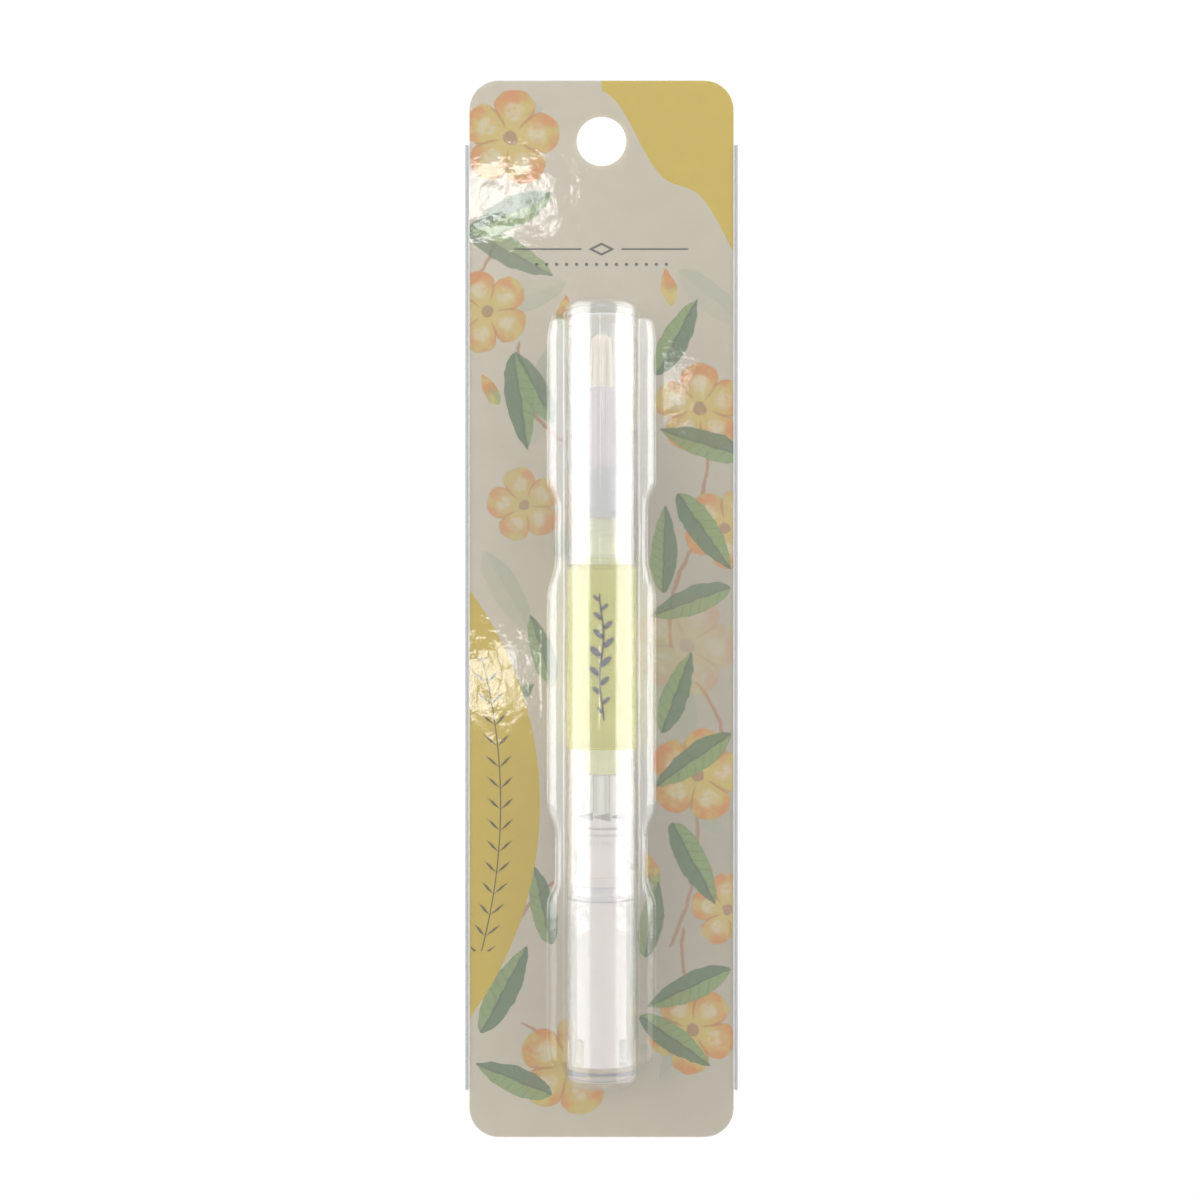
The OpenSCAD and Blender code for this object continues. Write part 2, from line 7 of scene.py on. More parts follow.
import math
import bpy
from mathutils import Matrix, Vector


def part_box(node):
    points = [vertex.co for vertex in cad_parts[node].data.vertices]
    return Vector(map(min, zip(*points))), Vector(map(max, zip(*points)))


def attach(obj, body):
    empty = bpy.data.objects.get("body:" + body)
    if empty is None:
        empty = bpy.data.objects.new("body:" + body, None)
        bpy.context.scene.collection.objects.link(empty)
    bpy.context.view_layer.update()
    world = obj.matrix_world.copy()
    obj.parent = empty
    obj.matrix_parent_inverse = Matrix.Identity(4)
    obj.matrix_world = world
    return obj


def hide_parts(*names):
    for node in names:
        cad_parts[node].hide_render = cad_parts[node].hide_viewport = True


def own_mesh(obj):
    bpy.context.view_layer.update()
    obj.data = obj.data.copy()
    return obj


bl_info = {
    "name": "Carded Cuticle Oil Pen",
    "version": (1, 0, 0),
    "blender": (4, 5, 0),
    "location": "View3D > Sidebar > Oil Pen",
    "description": "Builds the looks of a carded cuticle oil pen around its packed model",
    "category": "Object",
}

from functools import partialmethod

import bmesh
import bpy
from bpy.props import FloatProperty, FloatVectorProperty, IntProperty, PointerProperty
from mathutils import Vector, noise

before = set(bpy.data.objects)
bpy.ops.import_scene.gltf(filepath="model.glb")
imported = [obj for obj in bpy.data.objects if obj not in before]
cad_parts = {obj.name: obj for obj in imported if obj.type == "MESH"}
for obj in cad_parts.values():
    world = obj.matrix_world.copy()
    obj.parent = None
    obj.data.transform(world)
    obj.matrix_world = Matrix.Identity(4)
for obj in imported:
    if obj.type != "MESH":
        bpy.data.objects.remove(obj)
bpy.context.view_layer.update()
MM = 0.001

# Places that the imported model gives
KNOB_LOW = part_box("knob_shell")[0]
BARREL_LOW, BARREL_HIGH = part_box("barrel")
CAP_LOW, CAP_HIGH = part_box("cap")
OIL_LOW, OIL_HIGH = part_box("oil")
CARD_LOW, CARD_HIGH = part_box("backing_card")
SHEET_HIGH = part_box("blister_shell")[1]
FERRULE_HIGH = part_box("ferrule")[1]
TUFT_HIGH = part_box("bristles")[1]
PEN_RADIUS = (BARREL_HIGH.x - BARREL_LOW.x) / 2
PEN_Y = (BARREL_HIGH.y + BARREL_LOW.y) / 2
PEN_FOOT = KNOB_LOW.z
AXIS = Vector((0, PEN_Y, PEN_FOOT))


def srgb(code):
    """Linear colour of a hex code such as c8c2b4."""
    parts = [int(code[i:i + 2], 16) / 255 for i in (0, 2, 4)]
    return tuple(c / 12.92 if c <= 0.04045 else ((c + 0.055) / 1.055) ** 2.4 for c in parts)


def rgba(colour, gain=1.0):
    """A colour as a socket takes it, times a gain."""
    return (*(c * gain for c in colour[:3]), 1.0)


def grey(level):
    return rgba((level,) * 3)


def colour_setting(name, description, code):
    return FloatVectorProperty(name=name, description=description, subtype="COLOR", size=3,
                               min=0, max=1, default=srgb(code))


def length_setting(name, description, default, low=0.0, high=1.0):
    return FloatProperty(name=name, description=description, default=default, min=low, max=high,
                         subtype="DISTANCE", unit="LENGTH", precision=5)


def share_setting(name, description, default, high=1.0):
    return FloatProperty(name=name, description=description, default=default, min=0, max=high,
                         subtype="FACTOR")


def light_setting(name, description, default):
    return FloatProperty(name=name, description=description, default=default, min=0)


def count_setting(name, description, default, low=0, high=10000):
    return IntProperty(name=name, description=description, default=default, min=low, max=high)


class CardLook(bpy.types.PropertyGroup):
    ground: colour_setting("Ground", "Colour of the printed card", "c6bda9")
    panel: colour_setting("Panel", "Colour of the flat printed panels", "cbb032")
    ink: colour_setting("Ink", "Colour of the thin printed ornaments", "2b2a26")
    petal: colour_setting("Petal", "Main colour of the blossoms", "cf8438")
    petal_light: colour_setting("Petal light", "Light colour of the blossoms", "ccb45c")
    petal_pale: colour_setting("Petal pale", "Pale washes on the blossoms", "d2c8a8")
    leaf: colour_setting("Leaf", "Main colour of the leaves", "8ba465")
    leaf_dark: colour_setting("Leaf dark", "Shaded half of the leaves", "66805a")
    twig: colour_setting("Twig", "Colour of the twigs", "b5825c")
    ghost: colour_setting("Ghost", "Colour of the faint shapes behind the motifs", "a3a791")
    board: colour_setting("Board", "Colour of the unprinted back and edges", "d4d1c9")
    strength: share_setting("Strength", "Brightness of the whole print", 0.81, 2.0)


class SheetLook(bpy.types.PropertyGroup):
    wall: length_setting("Wall", "Thickness of the clear sheet", 0.3 * MM, 0.1 * MM, 1 * MM)
    lobe: length_setting("Lobe", "Half width of the lower step at its lobes", 9.1 * MM)
    waist: length_setting("Waist", "Half width of the lower step at its waists", 7.7 * MM)
    pocket: length_setting("Pocket", "Outer radius of the pocket round the pen", 6.25 * MM)
    end_edge: length_setting("End edge", "Radius of the pocket's end edges", 1.5 * MM)
    lip: length_setting("Lip", "Width of the lip folded behind the card", 6 * MM)
    hole: length_setting("Hole", "Radius of the sheet's hole round the hanging hole", 4.9 * MM)
    ripple: length_setting("Ripple", "Height of the waves drawn into the pocket", 0.05 * MM)
    haze: share_setting("Haze", "Light that the flat sheet scatters", 0.012)
    milk: share_setting("Milk", "Light that the drawn parts of the sheet scatter on top", 0.03)
    # Painted highlight: share of white scatter laid on the step's upper lobes
    painted_lobe_sheen: share_setting("Lobe milk", "Light that the upper lobes scatter", 0.18)
    # Painted shade: share of dark grey scatter laid on the folded edges
    painted_fold_shade: share_setting("Smoke", "Light that the folded edges take away", 0.6)
    gloss: share_setting("Roughness", "Roughness of the sheet", 0.05)


class PenLook(bpy.types.PropertyGroup):
    clear: colour_setting("Clear plastic", "Tint of cap, barrel and knob", "fbfcfa")
    # Painted shade: the rings' greyish tint stands in for the darker lines their edges show
    ring: colour_setting("Rings", "Tint of the neck's three sealing rings", "dedcc2")
    oil: colour_setting("Oil", "Tint that the oil gives at each crossing", "f3f28e")
    oil_body: colour_setting("Oil body", "Colour that oil gives to what stands in it", "dad46c")
    collar: colour_setting("Collar", "Colour of the collar under the brush", "aeadab")
    ferrule: colour_setting("Ferrule", "Colour of the brush's ferrule", "cdbec2")
    core: colour_setting("Core", "Colour of the drive core", "cec3bf")
    seal: colour_setting("Seal", "Colour of the piston", "d6d294")
    nut: colour_setting("Insert", "Colour of the threaded insert", "e8e1d4")


class BrushLook(bpy.types.PropertyGroup):
    strands: count_setting("Strands", "Number of bristles", 900, 100, 3000)
    outer: length_setting("Outer radius", "Radius of the whole tuft", 1.9 * MM)
    inner: length_setting("Inner radius", "Radius of the tuft's hollow middle", 0.66 * MM)
    strand: length_setting("Strand", "Radius of one bristle", 0.038 * MM)
    taper: share_setting("Taper", "How much the tuft draws in towards its tips", 0.14)
    dome: share_setting("Dome", "How much lower the tuft's rim is than its middle", 0.1)
    ragged: share_setting("Ragged", "Spread of the bristles' lengths", 0.07)
    seed: count_setting("Seed", "Seed of the bristles' spread", 5)
    colour: colour_setting("Bristle", "Colour of the bristles", "fdf3e2")


class SprigLook(bpy.types.PropertyGroup):
    middle: length_setting("Middle", "Height of its middle above the knob's base", 70.5 * MM)
    length: length_setting("Length", "Length of the printed sprig", 20 * MM)
    leaflets: count_setting("Leaflets", "Number of leaflets", 13, 3, 60)
    leaflet: length_setting("Leaflet", "Length of one leaflet", 2.3 * MM)
    sway: length_setting("Sway", "How far the stem sways to each side", 0.35 * MM)
    stem: length_setting("Stem", "Width of the stem", 0.28 * MM)
    depth: length_setting("Ink depth", "Thickness of the printed ink", 0.012 * MM)
    ink: colour_setting("Ink", "Colour of the printed ink", "100f12")


class StageLook(bpy.types.PropertyGroup):
    side_light: light_setting("Side light", "Light of the two side windows", 2.0)
    ambient: light_setting("Ambient", "Light of the room", 1.16)
    window_shine: light_setting("Window shine", "Brightness of the mirrored windows", 3.4)
    room_shine: light_setting("Room shine", "Brightness of the mirrored room", 0.85)
    backdrop: light_setting("Backdrop", "Brightness of the room as the camera sees it", 1.04)
    glare: light_setting("Glare", "Brightness of the three small lamps", 6)
    drop: length_setting("Drop", "Distance of the floor below the card", 0.24)
    floor: colour_setting("Floor", "Colour of the floor", "f6f6f4")


# Node trees wired from Python

class Wire:
    """A node's output. Arithmetic on it adds Math nodes to its tree."""

    def __init__(self, graph, socket):
        self.graph, self.socket = graph, socket

    def out(self, key):
        """Another output of the same node, by name or number."""
        return Wire(self.graph, self.socket.node.outputs[key])

    def math(self, operation, *values):
        return self.graph.math(operation, self, *values)

    def __rsub__(self, other):
        return self.graph.math("SUBTRACT", other, self)

    __add__ = __radd__ = partialmethod(math, "ADD")
    __sub__ = partialmethod(math, "SUBTRACT")
    __mul__ = __rmul__ = partialmethod(math, "MULTIPLY")
    __truediv__ = partialmethod(math, "DIVIDE")
    __pow__ = partialmethod(math, "POWER")
    __mod__ = partialmethod(math, "FLOORED_MODULO")
    __neg__ = partialmethod(math, "MULTIPLY", -1.0)
    __abs__ = partialmethod(math, "ABSOLUTE")
    most = partialmethod(math, "MAXIMUM")
    sin = partialmethod(math, "SINE")
    cos = partialmethod(math, "COSINE")

    def ramp(self, low, high, first=0.0, last=1.0):
        """first below low, last above high, and a smooth run between."""
        return self.graph.node("ShaderNodeMapRange", {0: self, 1: low, 2: high, 3: first, 4: last},
                               interpolation_type="SMOOTHSTEP", clamp=False)


class Graph:
    """A node tree that Python fills."""

    def __init__(self, tree):
        self.tree = tree

    def node(self, kind, inputs=(), **settings):
        """Adds a node, sets it up, then gives its inputs values or links, by key or in order."""
        made = self.tree.nodes.new(kind)
        for name, value in settings.items():
            setattr(made, name, value)
        for key, value in inputs.items() if isinstance(inputs, dict) else enumerate(inputs):
            if isinstance(value, Wire):
                self.tree.links.new(value.socket, made.inputs[key])
            else:
                made.inputs[key].default_value = value
        return Wire(self, made.outputs[0]) if made.outputs else made

    def math(self, operation, *values):
        return self.node("ShaderNodeMath", values, operation=operation)

    def vector(self, operation, *values):
        return self.node("ShaderNodeVectorMath", values, operation=operation)

    def mix(self, factor, first, second, blend="MIX"):
        """Colour mix of two colours or wires."""
        made = self.node("ShaderNodeMix", {0: factor, 6: first, 7: second}, data_type="RGBA",
                         blend_type=blend)
        return made.out(2)

    def combine(self, x, y, z):
        return self.node("ShaderNodeCombineXYZ", (x, y, z))

    def parts(self, vector):
        """The three coordinates of a vector."""
        made = self.node("ShaderNodeSeparateXYZ", [vector])
        return made.out("X"), made.out("Y"), made.out("Z")

    def inputs(self, **kinds):
        """Gives the tree inputs, listed by kind, and returns what reads one by its name."""
        for kind, labels in kinds.items():
            for label in labels:
                self.tree.interface.new_socket(label, in_out="INPUT",
                                               socket_type=f"NodeSocket{kind}")
        return self.node("NodeGroupInput").out

    def output(self, label, kind, result):
        """Gives the tree its one output, and returns the tree."""
        self.tree.interface.new_socket(label, in_out="OUTPUT", socket_type=f"NodeSocket{kind}")
        self.node("NodeGroupOutput", [result])
        return self.tree


class Finish(Graph):
    """A material that Python fills, with its coordinates in millimetres."""

    def __init__(self, name):
        self.material = bpy.data.materials.new(f"{name}_finish")
        self.material.use_nodes = True
        super().__init__(self.material.node_tree)
        self.tree.nodes.clear()
        metres = self.node("ShaderNodeTexCoord").out("Object")
        self.place = self.mapped(metres, (1 / MM,) * 3)

    def mapped(self, vector, scale, turn=(0, 0, 0)):
        return self.node("ShaderNodeMapping", {"Vector": vector, "Rotation": turn, "Scale": scale})

    def noise(self, vector, scale, detail=3.0, rough=0.5):
        return self.node("ShaderNodeTexNoise", {"Vector": vector, "Scale": scale,
                                                "Detail": detail, "Roughness": rough})

    def lines(self, along, scale, detail):
        """Noise that varies along one coordinate only."""
        return self.node("ShaderNodeTexNoise", {"W": along, "Scale": scale, "Detail": detail},
                         noise_dimensions="1D")

    def bump(self, height, strength, distance):
        return self.node("ShaderNodeBump",
                         {"Strength": strength, "Distance": distance, "Height": height})

    def surface(self, **values):
        """A Principled shader. Words become its sockets' names."""
        names = {"colour": "Base Color", "metal": "Metallic", "rough": "Roughness", "ior": "IOR",
                 "normal": "Normal", "shine": "Specular IOR Level",
                 "through": "Transmission Weight", "under": "Subsurface Weight",
                 "under_scale": "Subsurface Scale"}
        return self.node("ShaderNodeBsdfPrincipled", {names[k]: v for k, v in values.items()})

    def clear(self, tint):
        return self.node("ShaderNodeBsdfTransparent", [tint])

    def blend(self, factor, first, second):
        return self.node("ShaderNodeMixShader", (factor, first, second))

    def done(self, shader):
        self.node("ShaderNodeOutputMaterial", {"Surface": shader})
        return self.material


# Print on the card. Places and sizes are millimetres on its face, x to the right and z up.

# Heights at which the face is cut, so that each region works out only its own motifs
PRINT_CUTS = (12, -22, -48, -74, -100, -126, -170)
# Names of a motif's six numbers, in the order of the tables below
PLACING = ("X", "Z", "Turn", "Length", "Width", "Strength")
# x, z, turn in degrees, length, half width, share of full strength
GHOST_LEAVES = (
    (-13, -52, 70, 24, 5, 0.55), (13, -22, -40, 17, 4, 0.5), (-6, -24, 200, 16, 4, 0.45),
    (9, -84, -75, 26, 6, 0.6), (-12, -160, 15, 22, 4.5, 0.5), (10, -160, 50, 20, 4.5, 0.5),
    (-20, -70, -60, 17, 4, 0.5), (21, -118, 130, 18, 4.5, 0.5), (-10, 6, 200, 15, 4, 0.45),
)
LEAVES = (
    (-8.5, -9, 205, 17, 4.2, 1), (-23, -15, -28, 17, 3.8, 0.85), (-15, -36, -82, 17, 4, 1),
    (-8.2, -48, 118, 14, 3.4, 0.9), (9.3, -40, 62, 15, 3.8, 1), (25, -54, 162, 16, 3.8, 0.95),
    (13, -60, -55, 16, 4, 1), (22, -76, 200, 15, 3.8, 0.9), (10.4, -77, 88, 15, 3.6, 0.95),
    (10.2, -101, 70, 15, 3.6, 1), (22, -101, 215, 16, 3.8, 1), (12, -116, -62, 16, 4, 1),
    (-8.6, -137, 102, 14, 3.4, 0.95), (-20.5, -152, 62, 17, 4, 1), (-8.5, -162.5, 158, 14, 3.8, 1),
    (7.4, -139, 80, 13, 3.3, 0.9), (22, -141, 205, 16, 3.8, 1), (6.5, -149, -35, 15, 3.6, 1),
    (-7.6, -71, 60, 11, 3, 0.8), (-8.2, -93, 108, 13, 3.2, 0.9), (-22, -100, 35, 13, 3.4, 0.9),
)
# x, z, turn, length, bow to one side, share of full strength
TWIGS = (
    (-16, -6, -115, 26, 3, 0.9), (-14, -34, -60, 22, -4, 1), (17, -44, -95, 22, 2, 1),
    (20, -64, -110, 24, -3, 1), (16, -92, -80, 20, 3, 1), (16, -112, -100, 26, 2, 0.9),
    (-8, -126, -115, 24, -3, 1), (-14, -150, -60, 18, 3, 0.9), (14, -134, -75, 17, -2, 1),
)
# x, z, turn, radius along and across, share of full strength
BLOSSOMS = (
    (-15.5, 0.5, 10, 8.6, 8.6, 1), (-19.5, -29, 40, 7.6, 7.2, 0.95), (16.8, -45.5, 20, 8, 8, 1),
    (21, -66, 60, 7, 7.4, 0.9), (16.4, -108, 5, 8.6, 8.2, 1), (-13.2, -62, 30, 6.6, 6.6, 0.85),
    (-5.4, -157.6, 4, 9.2, 8.8, 1), (15.5, -151.5, 50, 7.8, 7.8, 1), (14.5, -86, 0, 9.5, 9, 0.35),
    (21.5, -131, 25, 6.4, 6.4, 0.9),
)
# x, z, turn, length, half width, share of full strength
BUDS = ((-6.9, -32, 80, 6, 2, 1), (12, -28, 100, 6.5, 2.1, 1), (9.6, -127, 110, 6, 2, 1),
        (-17.5, -45, 120, 6, 2, 1))


# Heights of the thin rule, of the beads under it, and of the middle of the side panel's garland
RULE_Z = -18.4
BEADS_Z = -21.0
GARLAND_Z = -113.0
# The side panel is a piece of a large disc, whose middle lies off the card
PANEL_X = -72.0
PANEL_RADIUS = 61.5


class Motif(Graph):
    """A painted motif: a group that lays its own shape over the canvas it is given."""

    def __init__(self, name):
        super().__init__(bpy.data.node_groups.new(name, "ShaderNodeTree"))
        given = self.inputs(Color=["Canvas"], Float=["Right", "Up", "Wash", "Blotch", *PLACING])
        self.canvas, self.wash, self.blotch = given("Canvas"), given("Wash"), given("Blotch")
        self.width, self.strength = given("Width"), given("Strength")
        right, up = given("Right") - given("X"), given("Up") - given("Z")
        turn = given("Turn").math("RADIANS")
        c, s = turn.cos(), turn.sin()
        self.along = (right * c + up * s) / given("Length")
        self.across = (up * c - right * s) / self.width

    def done(self, cover, body):
        """Lays the motif's own colour over the canvas where cover says."""
        return self.output("Canvas", "Color", self.mix(cover * self.strength, self.canvas, body))


def leaf_depth(motif):
    """Depth inside a pointed leaf, whose along runs from stalk to tip and across is half widths."""
    return (motif.along ** 0.62) * ((1.0 - motif.along) ** 0.86) * 1.78 - abs(motif.across)


def leaf_motif(look):
    leaf = Motif("Leaf motif")
    depth, along, off = leaf_depth(leaf), leaf.along, abs(leaf.across)
    light = leaf.mix(leaf.wash, rgba(look.leaf), rgba(look.leaf, 0.78))
    shade = leaf.mix(leaf.wash, rgba(look.leaf_dark, 1.05), rgba(look.leaf_dark, 0.72))
    body = leaf.mix(leaf.across.ramp(-0.06, 0.06), shade, light)
    ribs = ((along - off * 0.16) * 58.0).sin().ramp(0.86, 1.0, 0.0, 0.4)
    marks = ribs.most(off.ramp(0.02, 0.07, 0.75, 0.0)).most(depth.ramp(0.0, 0.07, 0.5, 0.0))
    body = leaf.mix(marks, body, rgba(look.leaf_dark, 0.5))
    return leaf.done(depth.ramp(0.0, 0.05, 0.0, 0.92), body)


def ghost_motif(look):
    ghost = Motif("Ghost leaf motif")
    half = ghost.across.ramp(-0.03, 0.03, 0.55, 1.0)
    return ghost.done(leaf_depth(ghost).ramp(0.0, 0.04) * half, rgba(look.ghost))


def twig_motif(look):
    """A curved twig. Its width socket holds how far it bows, in millimetres."""
    twig = Motif("Twig motif")
    across = twig.across * twig.width
    off = abs(across - twig.along * (1.0 - twig.along) * twig.width * 4.0)
    run = twig.along.ramp(0.0, 0.02) * twig.along.ramp(0.98, 1.0, 1.0, 0.0)
    return twig.done(off.ramp(0.2, 0.42, 0.8, 0.0) * run, rgba(look.twig, 0.9))


def blossom_motif(look):
    flower = Motif("Blossom motif")
    out = (flower.along * flower.along + flower.across * flower.across) ** 0.5
    angle = flower.math("ARCTAN2", flower.across, flower.along)
    petal = abs((angle * 2.5).cos())
    depth = (petal ** 0.42) * 0.4 + 0.6 - out
    body = flower.mix(out.ramp(0.2, 0.95), rgba(look.petal_light), rgba(look.petal))
    body = flower.mix(flower.blotch.ramp(0.42, 0.62), body, rgba(look.petal_light, 0.96))
    pale = (petal - 0.2) * out.ramp(0.15, 0.5) * out.ramp(0.55, 0.9, 1.0, 0.0)
    pale = pale.ramp(0.25, 0.7, 0.0, 0.8) * flower.wash.ramp(0.3, 0.6)
    body = flower.mix(pale, body, rgba(look.petal_pale))
    seam = petal.ramp(0.05, 0.22, 0.7, 0.0) * out.ramp(0.15, 0.35)
    body = flower.mix(seam, body, rgba(look.petal, 0.72))
    body = flower.mix(depth.ramp(0.0, 0.06, 0.45, 0.0), body, rgba(look.leaf, 0.95))
    body = flower.mix(out.ramp(0.12, 0.16, 0.8, 0.0), body, rgba(look.twig, 0.75))
    return flower.done(depth.ramp(0.0, 0.05, 0.0, 0.92), body)


def bud_motif(look):
    bud = Motif("Bud motif")
    body = bud.mix(bud.along.ramp(0.1, 0.7), rgba(look.leaf, 0.95), rgba(look.petal))
    body = bud.mix(bud.blotch.ramp(0.45, 0.6), body, rgba(look.petal_light))
    return bud.done(leaf_depth(bud).ramp(0.0, 0.06, 0.0, 0.9), body)


def rule_and_knot(x, z):
    """A thin rule with a knot in its middle and a row of beads under it."""
    out, off = abs(x), abs(z - RULE_Z)
    rule = off.ramp(0.1, 0.2, 1.0, 0.0) * out.ramp(3.2, 3.6) * out.ramp(14.6, 15.0, 1.0, 0.0)
    bead = ((out % 1.7 - 0.85) ** 2.0 + (z - BEADS_Z) ** 2.0).ramp(0.06, 0.11, 1.0, 0.0)
    knot = abs(out * 0.55 + off * 1.1 - 1.0).ramp(0.16, 0.3, 1.0, 0.0)
    return rule.most(bead * out.ramp(11.7, 11.9, 1.0, 0.0)).most(knot)


def garland(x, z):
    """A bowed stem with slanting leaflets down the side panel."""
    rise = z - GARLAND_Z
    side = x + 17.2 + rise * rise * 0.0052
    slant = abs(side) - 0.25
    leaflet = abs((z % 3.6) - 1.5 - slant * 0.9) * 1.5 + abs(slant - 0.9) * 0.42
    stem = abs(side).ramp(0.07, 0.13, 1.0, 0.0)
    return leaflet.ramp(0.42, 0.52, 1.0, 0.0).most(stem) * abs(rise).ramp(25.0, 25.2, 1.0, 0.0)


def touches(region, round_, placed):
    """Whether a motif may reach into a region of the card."""
    west, east, foot, head = region
    x, z, turn, length, width, _ = placed
    reach = 1.1 * max(length, width) if round_ else 0.5 * length + max(2.5, width)
    if not round_:
        x += 0.5 * length * math.cos(math.radians(turn))
        z += 0.5 * length * math.sin(math.radians(turn))
    return (west - reach < x + 1 and x - 1 < east + reach
            and foot - reach < z + 1 and z - 1 < head + reach)


def printed_face(number, region, motifs):
    """Coated card with the part of the painted print that falls in one region of its face."""
    look = bpy.context.scene.oil_pen_card
    west, east, foot, head = region
    print_ = Finish(f"printed_card_{number}")
    x, _, z = print_.parts(print_.place)
    plane = print_.combine(x, z, 0.0)
    wobble = print_.noise(plane, 0.55, 2.0).out("Color")
    shake = print_.vector("MULTIPLY_ADD", wobble, (0.9, 0.9, 0.0), plane)
    shaken = print_.vector("SUBTRACT", shake, (0.45, 0.45, 0.0))
    wash = print_.noise(shaken, 0.5, 4.0, 0.6)
    blotch = print_.noise(shaken, 0.24, 3.0, 0.55)
    right, up, _ = print_.parts(shaken)
    # Painted shade: the ground darkens towards the right and around 105 mm below the hole, by
    # mixing a lit and a shaded copy of its colour
    shade = x.ramp(-24.0, 24.0, 0.0, 1.0) * abs(z + 105.0).ramp(20.0, 75.0, 1.0, 0.25)
    canvas = print_.mix(shade, rgba(look.ground, 1.04), rgba(look.ground, 0.76))
    canvas = print_.mix(blotch.ramp(0.35, 0.7, 0.0, 0.35), canvas, rgba(look.ground, 0.88))
    for round_, tree, places in motifs:
        for placed in places:
            if touches(region, round_, placed):
                canvas = print_.node("ShaderNodeGroup", {
                    "Canvas": canvas, "Right": right, "Up": up, "Wash": wash, "Blotch": blotch,
                    **dict(zip(PLACING, placed))}, node_tree=tree)
    tone = print_.mix(blotch, rgba(look.panel, 1.02), rgba(look.panel, 0.9))
    if east > 0 and head > -20:
        wave = z - 7.5 + x * 1.12 - (x * 0.42 + 0.6).sin() * 2.0
        canvas = print_.mix(wave.ramp(-0.04, 0.04), canvas, tone)
    if west < 0:
        out = ((x - PANEL_X) ** 2.0 + (z - GARLAND_Z) ** 2.0) ** 0.5
        panel = out.ramp(PANEL_RADIUS - 0.04, PANEL_RADIUS + 0.04, 1.0, 0.0)
        canvas = print_.mix(panel, canvas, tone)
        canvas = print_.mix(garland(x, z) * 0.88, canvas, rgba(look.ink))
    if head > -20:
        canvas = print_.mix(rule_and_knot(x, z) * 0.88, canvas, rgba(look.ink))
    grain = print_.noise(print_.place, 9.0, 3.0, 0.7)
    colour = print_.mix(grain.ramp(0.2, 0.8, 0.0, 0.05), canvas, grey(0))
    colour = print_.mix(1.0, colour, grey(look.strength), "MULTIPLY")
    return print_.done(print_.surface(colour=colour, rough=0.42,
                                      normal=print_.bump(grain, 0.1, 0.02 * MM)))


def plain_board():
    """Unprinted board behind the card and at its edges."""
    look = bpy.context.scene.oil_pen_card
    board = Finish("card_board")
    grain = board.noise(board.place, 7.0, 4.0, 0.7)
    fibre = board.noise(board.mapped(board.place, (0.3, 1.0, 1.6)), 2.2, 3.0, 0.6)
    tone = (grain * 0.5 + fibre * 0.5).ramp(0.3, 0.7)
    colour = board.mix(tone, rgba(look.board, 0.84), rgba(look.board))
    return board.done(board.surface(colour=colour, rough=0.8,
                                    normal=board.bump(grain, 0.15, 0.03 * MM)))


# Clear and plastic finishes

def mirrored_share(finish, head_on, normal):
    """Share of light that a polished face mirrors: head_on seen square, all of it seen edge-on."""
    facing = finish.node("ShaderNodeLayerWeight", {"Blend": 0.5, "Normal": normal}).out("Facing")
    return (facing ** 5.0) * (1.0 - head_on) + head_on


def clear_sheet():
    """Thin thermoformed sheet: clear, glossy, faintly rippled and a little hazy."""
    look = bpy.context.scene.oil_pen_sheet
    sheet = Finish("clear_sheet")
    drawn = sheet.mapped(sheet.place, (1.0, 1.0, 0.28), turn=(0, math.radians(24), 0))
    waves = sheet.noise(sheet.place, 0.22)
    streaks = sheet.noise(drawn, 2.6, 3.0, 0.6)
    x, y, z = sheet.parts(sheet.place)
    upright = sheet.lines(x + waves * 0.6, 1.7, 1.0)
    step = (-y).ramp(0.9, 1.8) * (-y).ramp(3.9, 4.8, 1.0, 0.0)
    height = waves * 0.8 + streaks * (-y).ramp(1.2, 3.2, 0.06, 0.22) + upright * step * 1.8
    normal = sheet.bump(height, 0.55, 0.16 * MM)
    mirror = sheet.surface(colour=grey(1), metal=1.0, rough=look.gloss, normal=normal)
    half_card = CARD_HIGH.x / MM
    # Painted shade: where the sheet folds round the card's edges it scatters dark grey and mirrors
    # less, standing in for how the fold darkens
    fold = abs(x).ramp(half_card - 0.05, half_card + 0.35)
    veil = sheet.mix(fold, rgba((0.95, 0.95, 0.96)), rgba((0.36, 0.37, 0.38)))
    milk = sheet.surface(colour=veil, rough=0.5, shine=0.0)
    raised = (-y).ramp(4.5, 9.5, look.haze, look.haze + look.milk)
    # Painted highlight: the step's upper lobes scatter more white, standing in for the mirrored
    # windows that brighten them
    lobes = step * z.ramp(-138.0, -112.0) * look.painted_lobe_sheen
    body = sheet.blend(raised + lobes + fold * look.painted_fold_shade, sheet.clear(grey(0.985)), milk)
    shine = mirrored_share(sheet, 0.045, normal) * fold.ramp(0.0, 1.0, 1.0, 0.1)
    return sheet.done(sheet.blend(shine, body, mirror))


def clear_glass(name, tint, haze=0.06):
    """Polished clear plastic that bends what is seen through it and lets lamps light its inside."""
    plastic = Finish(name)
    flow = plastic.mapped(plastic.place, (1.0, 1.0, 0.3))
    normal = plastic.bump(plastic.noise(flow, 0.7, 2.0), 0.3, 0.03 * MM)
    glass = plastic.surface(colour=rgba(tint), rough=0.02, ior=1.49, through=1.0, normal=normal)
    milk = plastic.surface(colour=rgba((0.9, 0.9, 0.91)), rough=0.5, shine=0.0)
    body = plastic.blend(haze, glass, milk)
    shadow = plastic.node("ShaderNodeLightPath").out("Is Shadow Ray")
    return plastic.done(plastic.blend(shadow, body, plastic.clear(grey(0.96))))


def tinted_clear(name, tint, glow=0.0):
    """A boundary that only colours what passes it, as oil does where it wets clear plastic."""
    liquid = Finish(name)
    cloud = liquid.noise(liquid.place, 0.35, 2.0)
    body = liquid.mix(cloud.ramp(0.3, 0.7), rgba(tint, 0.94), rgba(tint, 0.86))
    lit = liquid.surface(colour=body, rough=0.6, shine=0.0)
    share = cloud.ramp(0.3, 0.7, glow, glow * 0.85)
    return liquid.done(liquid.blend(share, liquid.clear(rgba(tint)), lit))


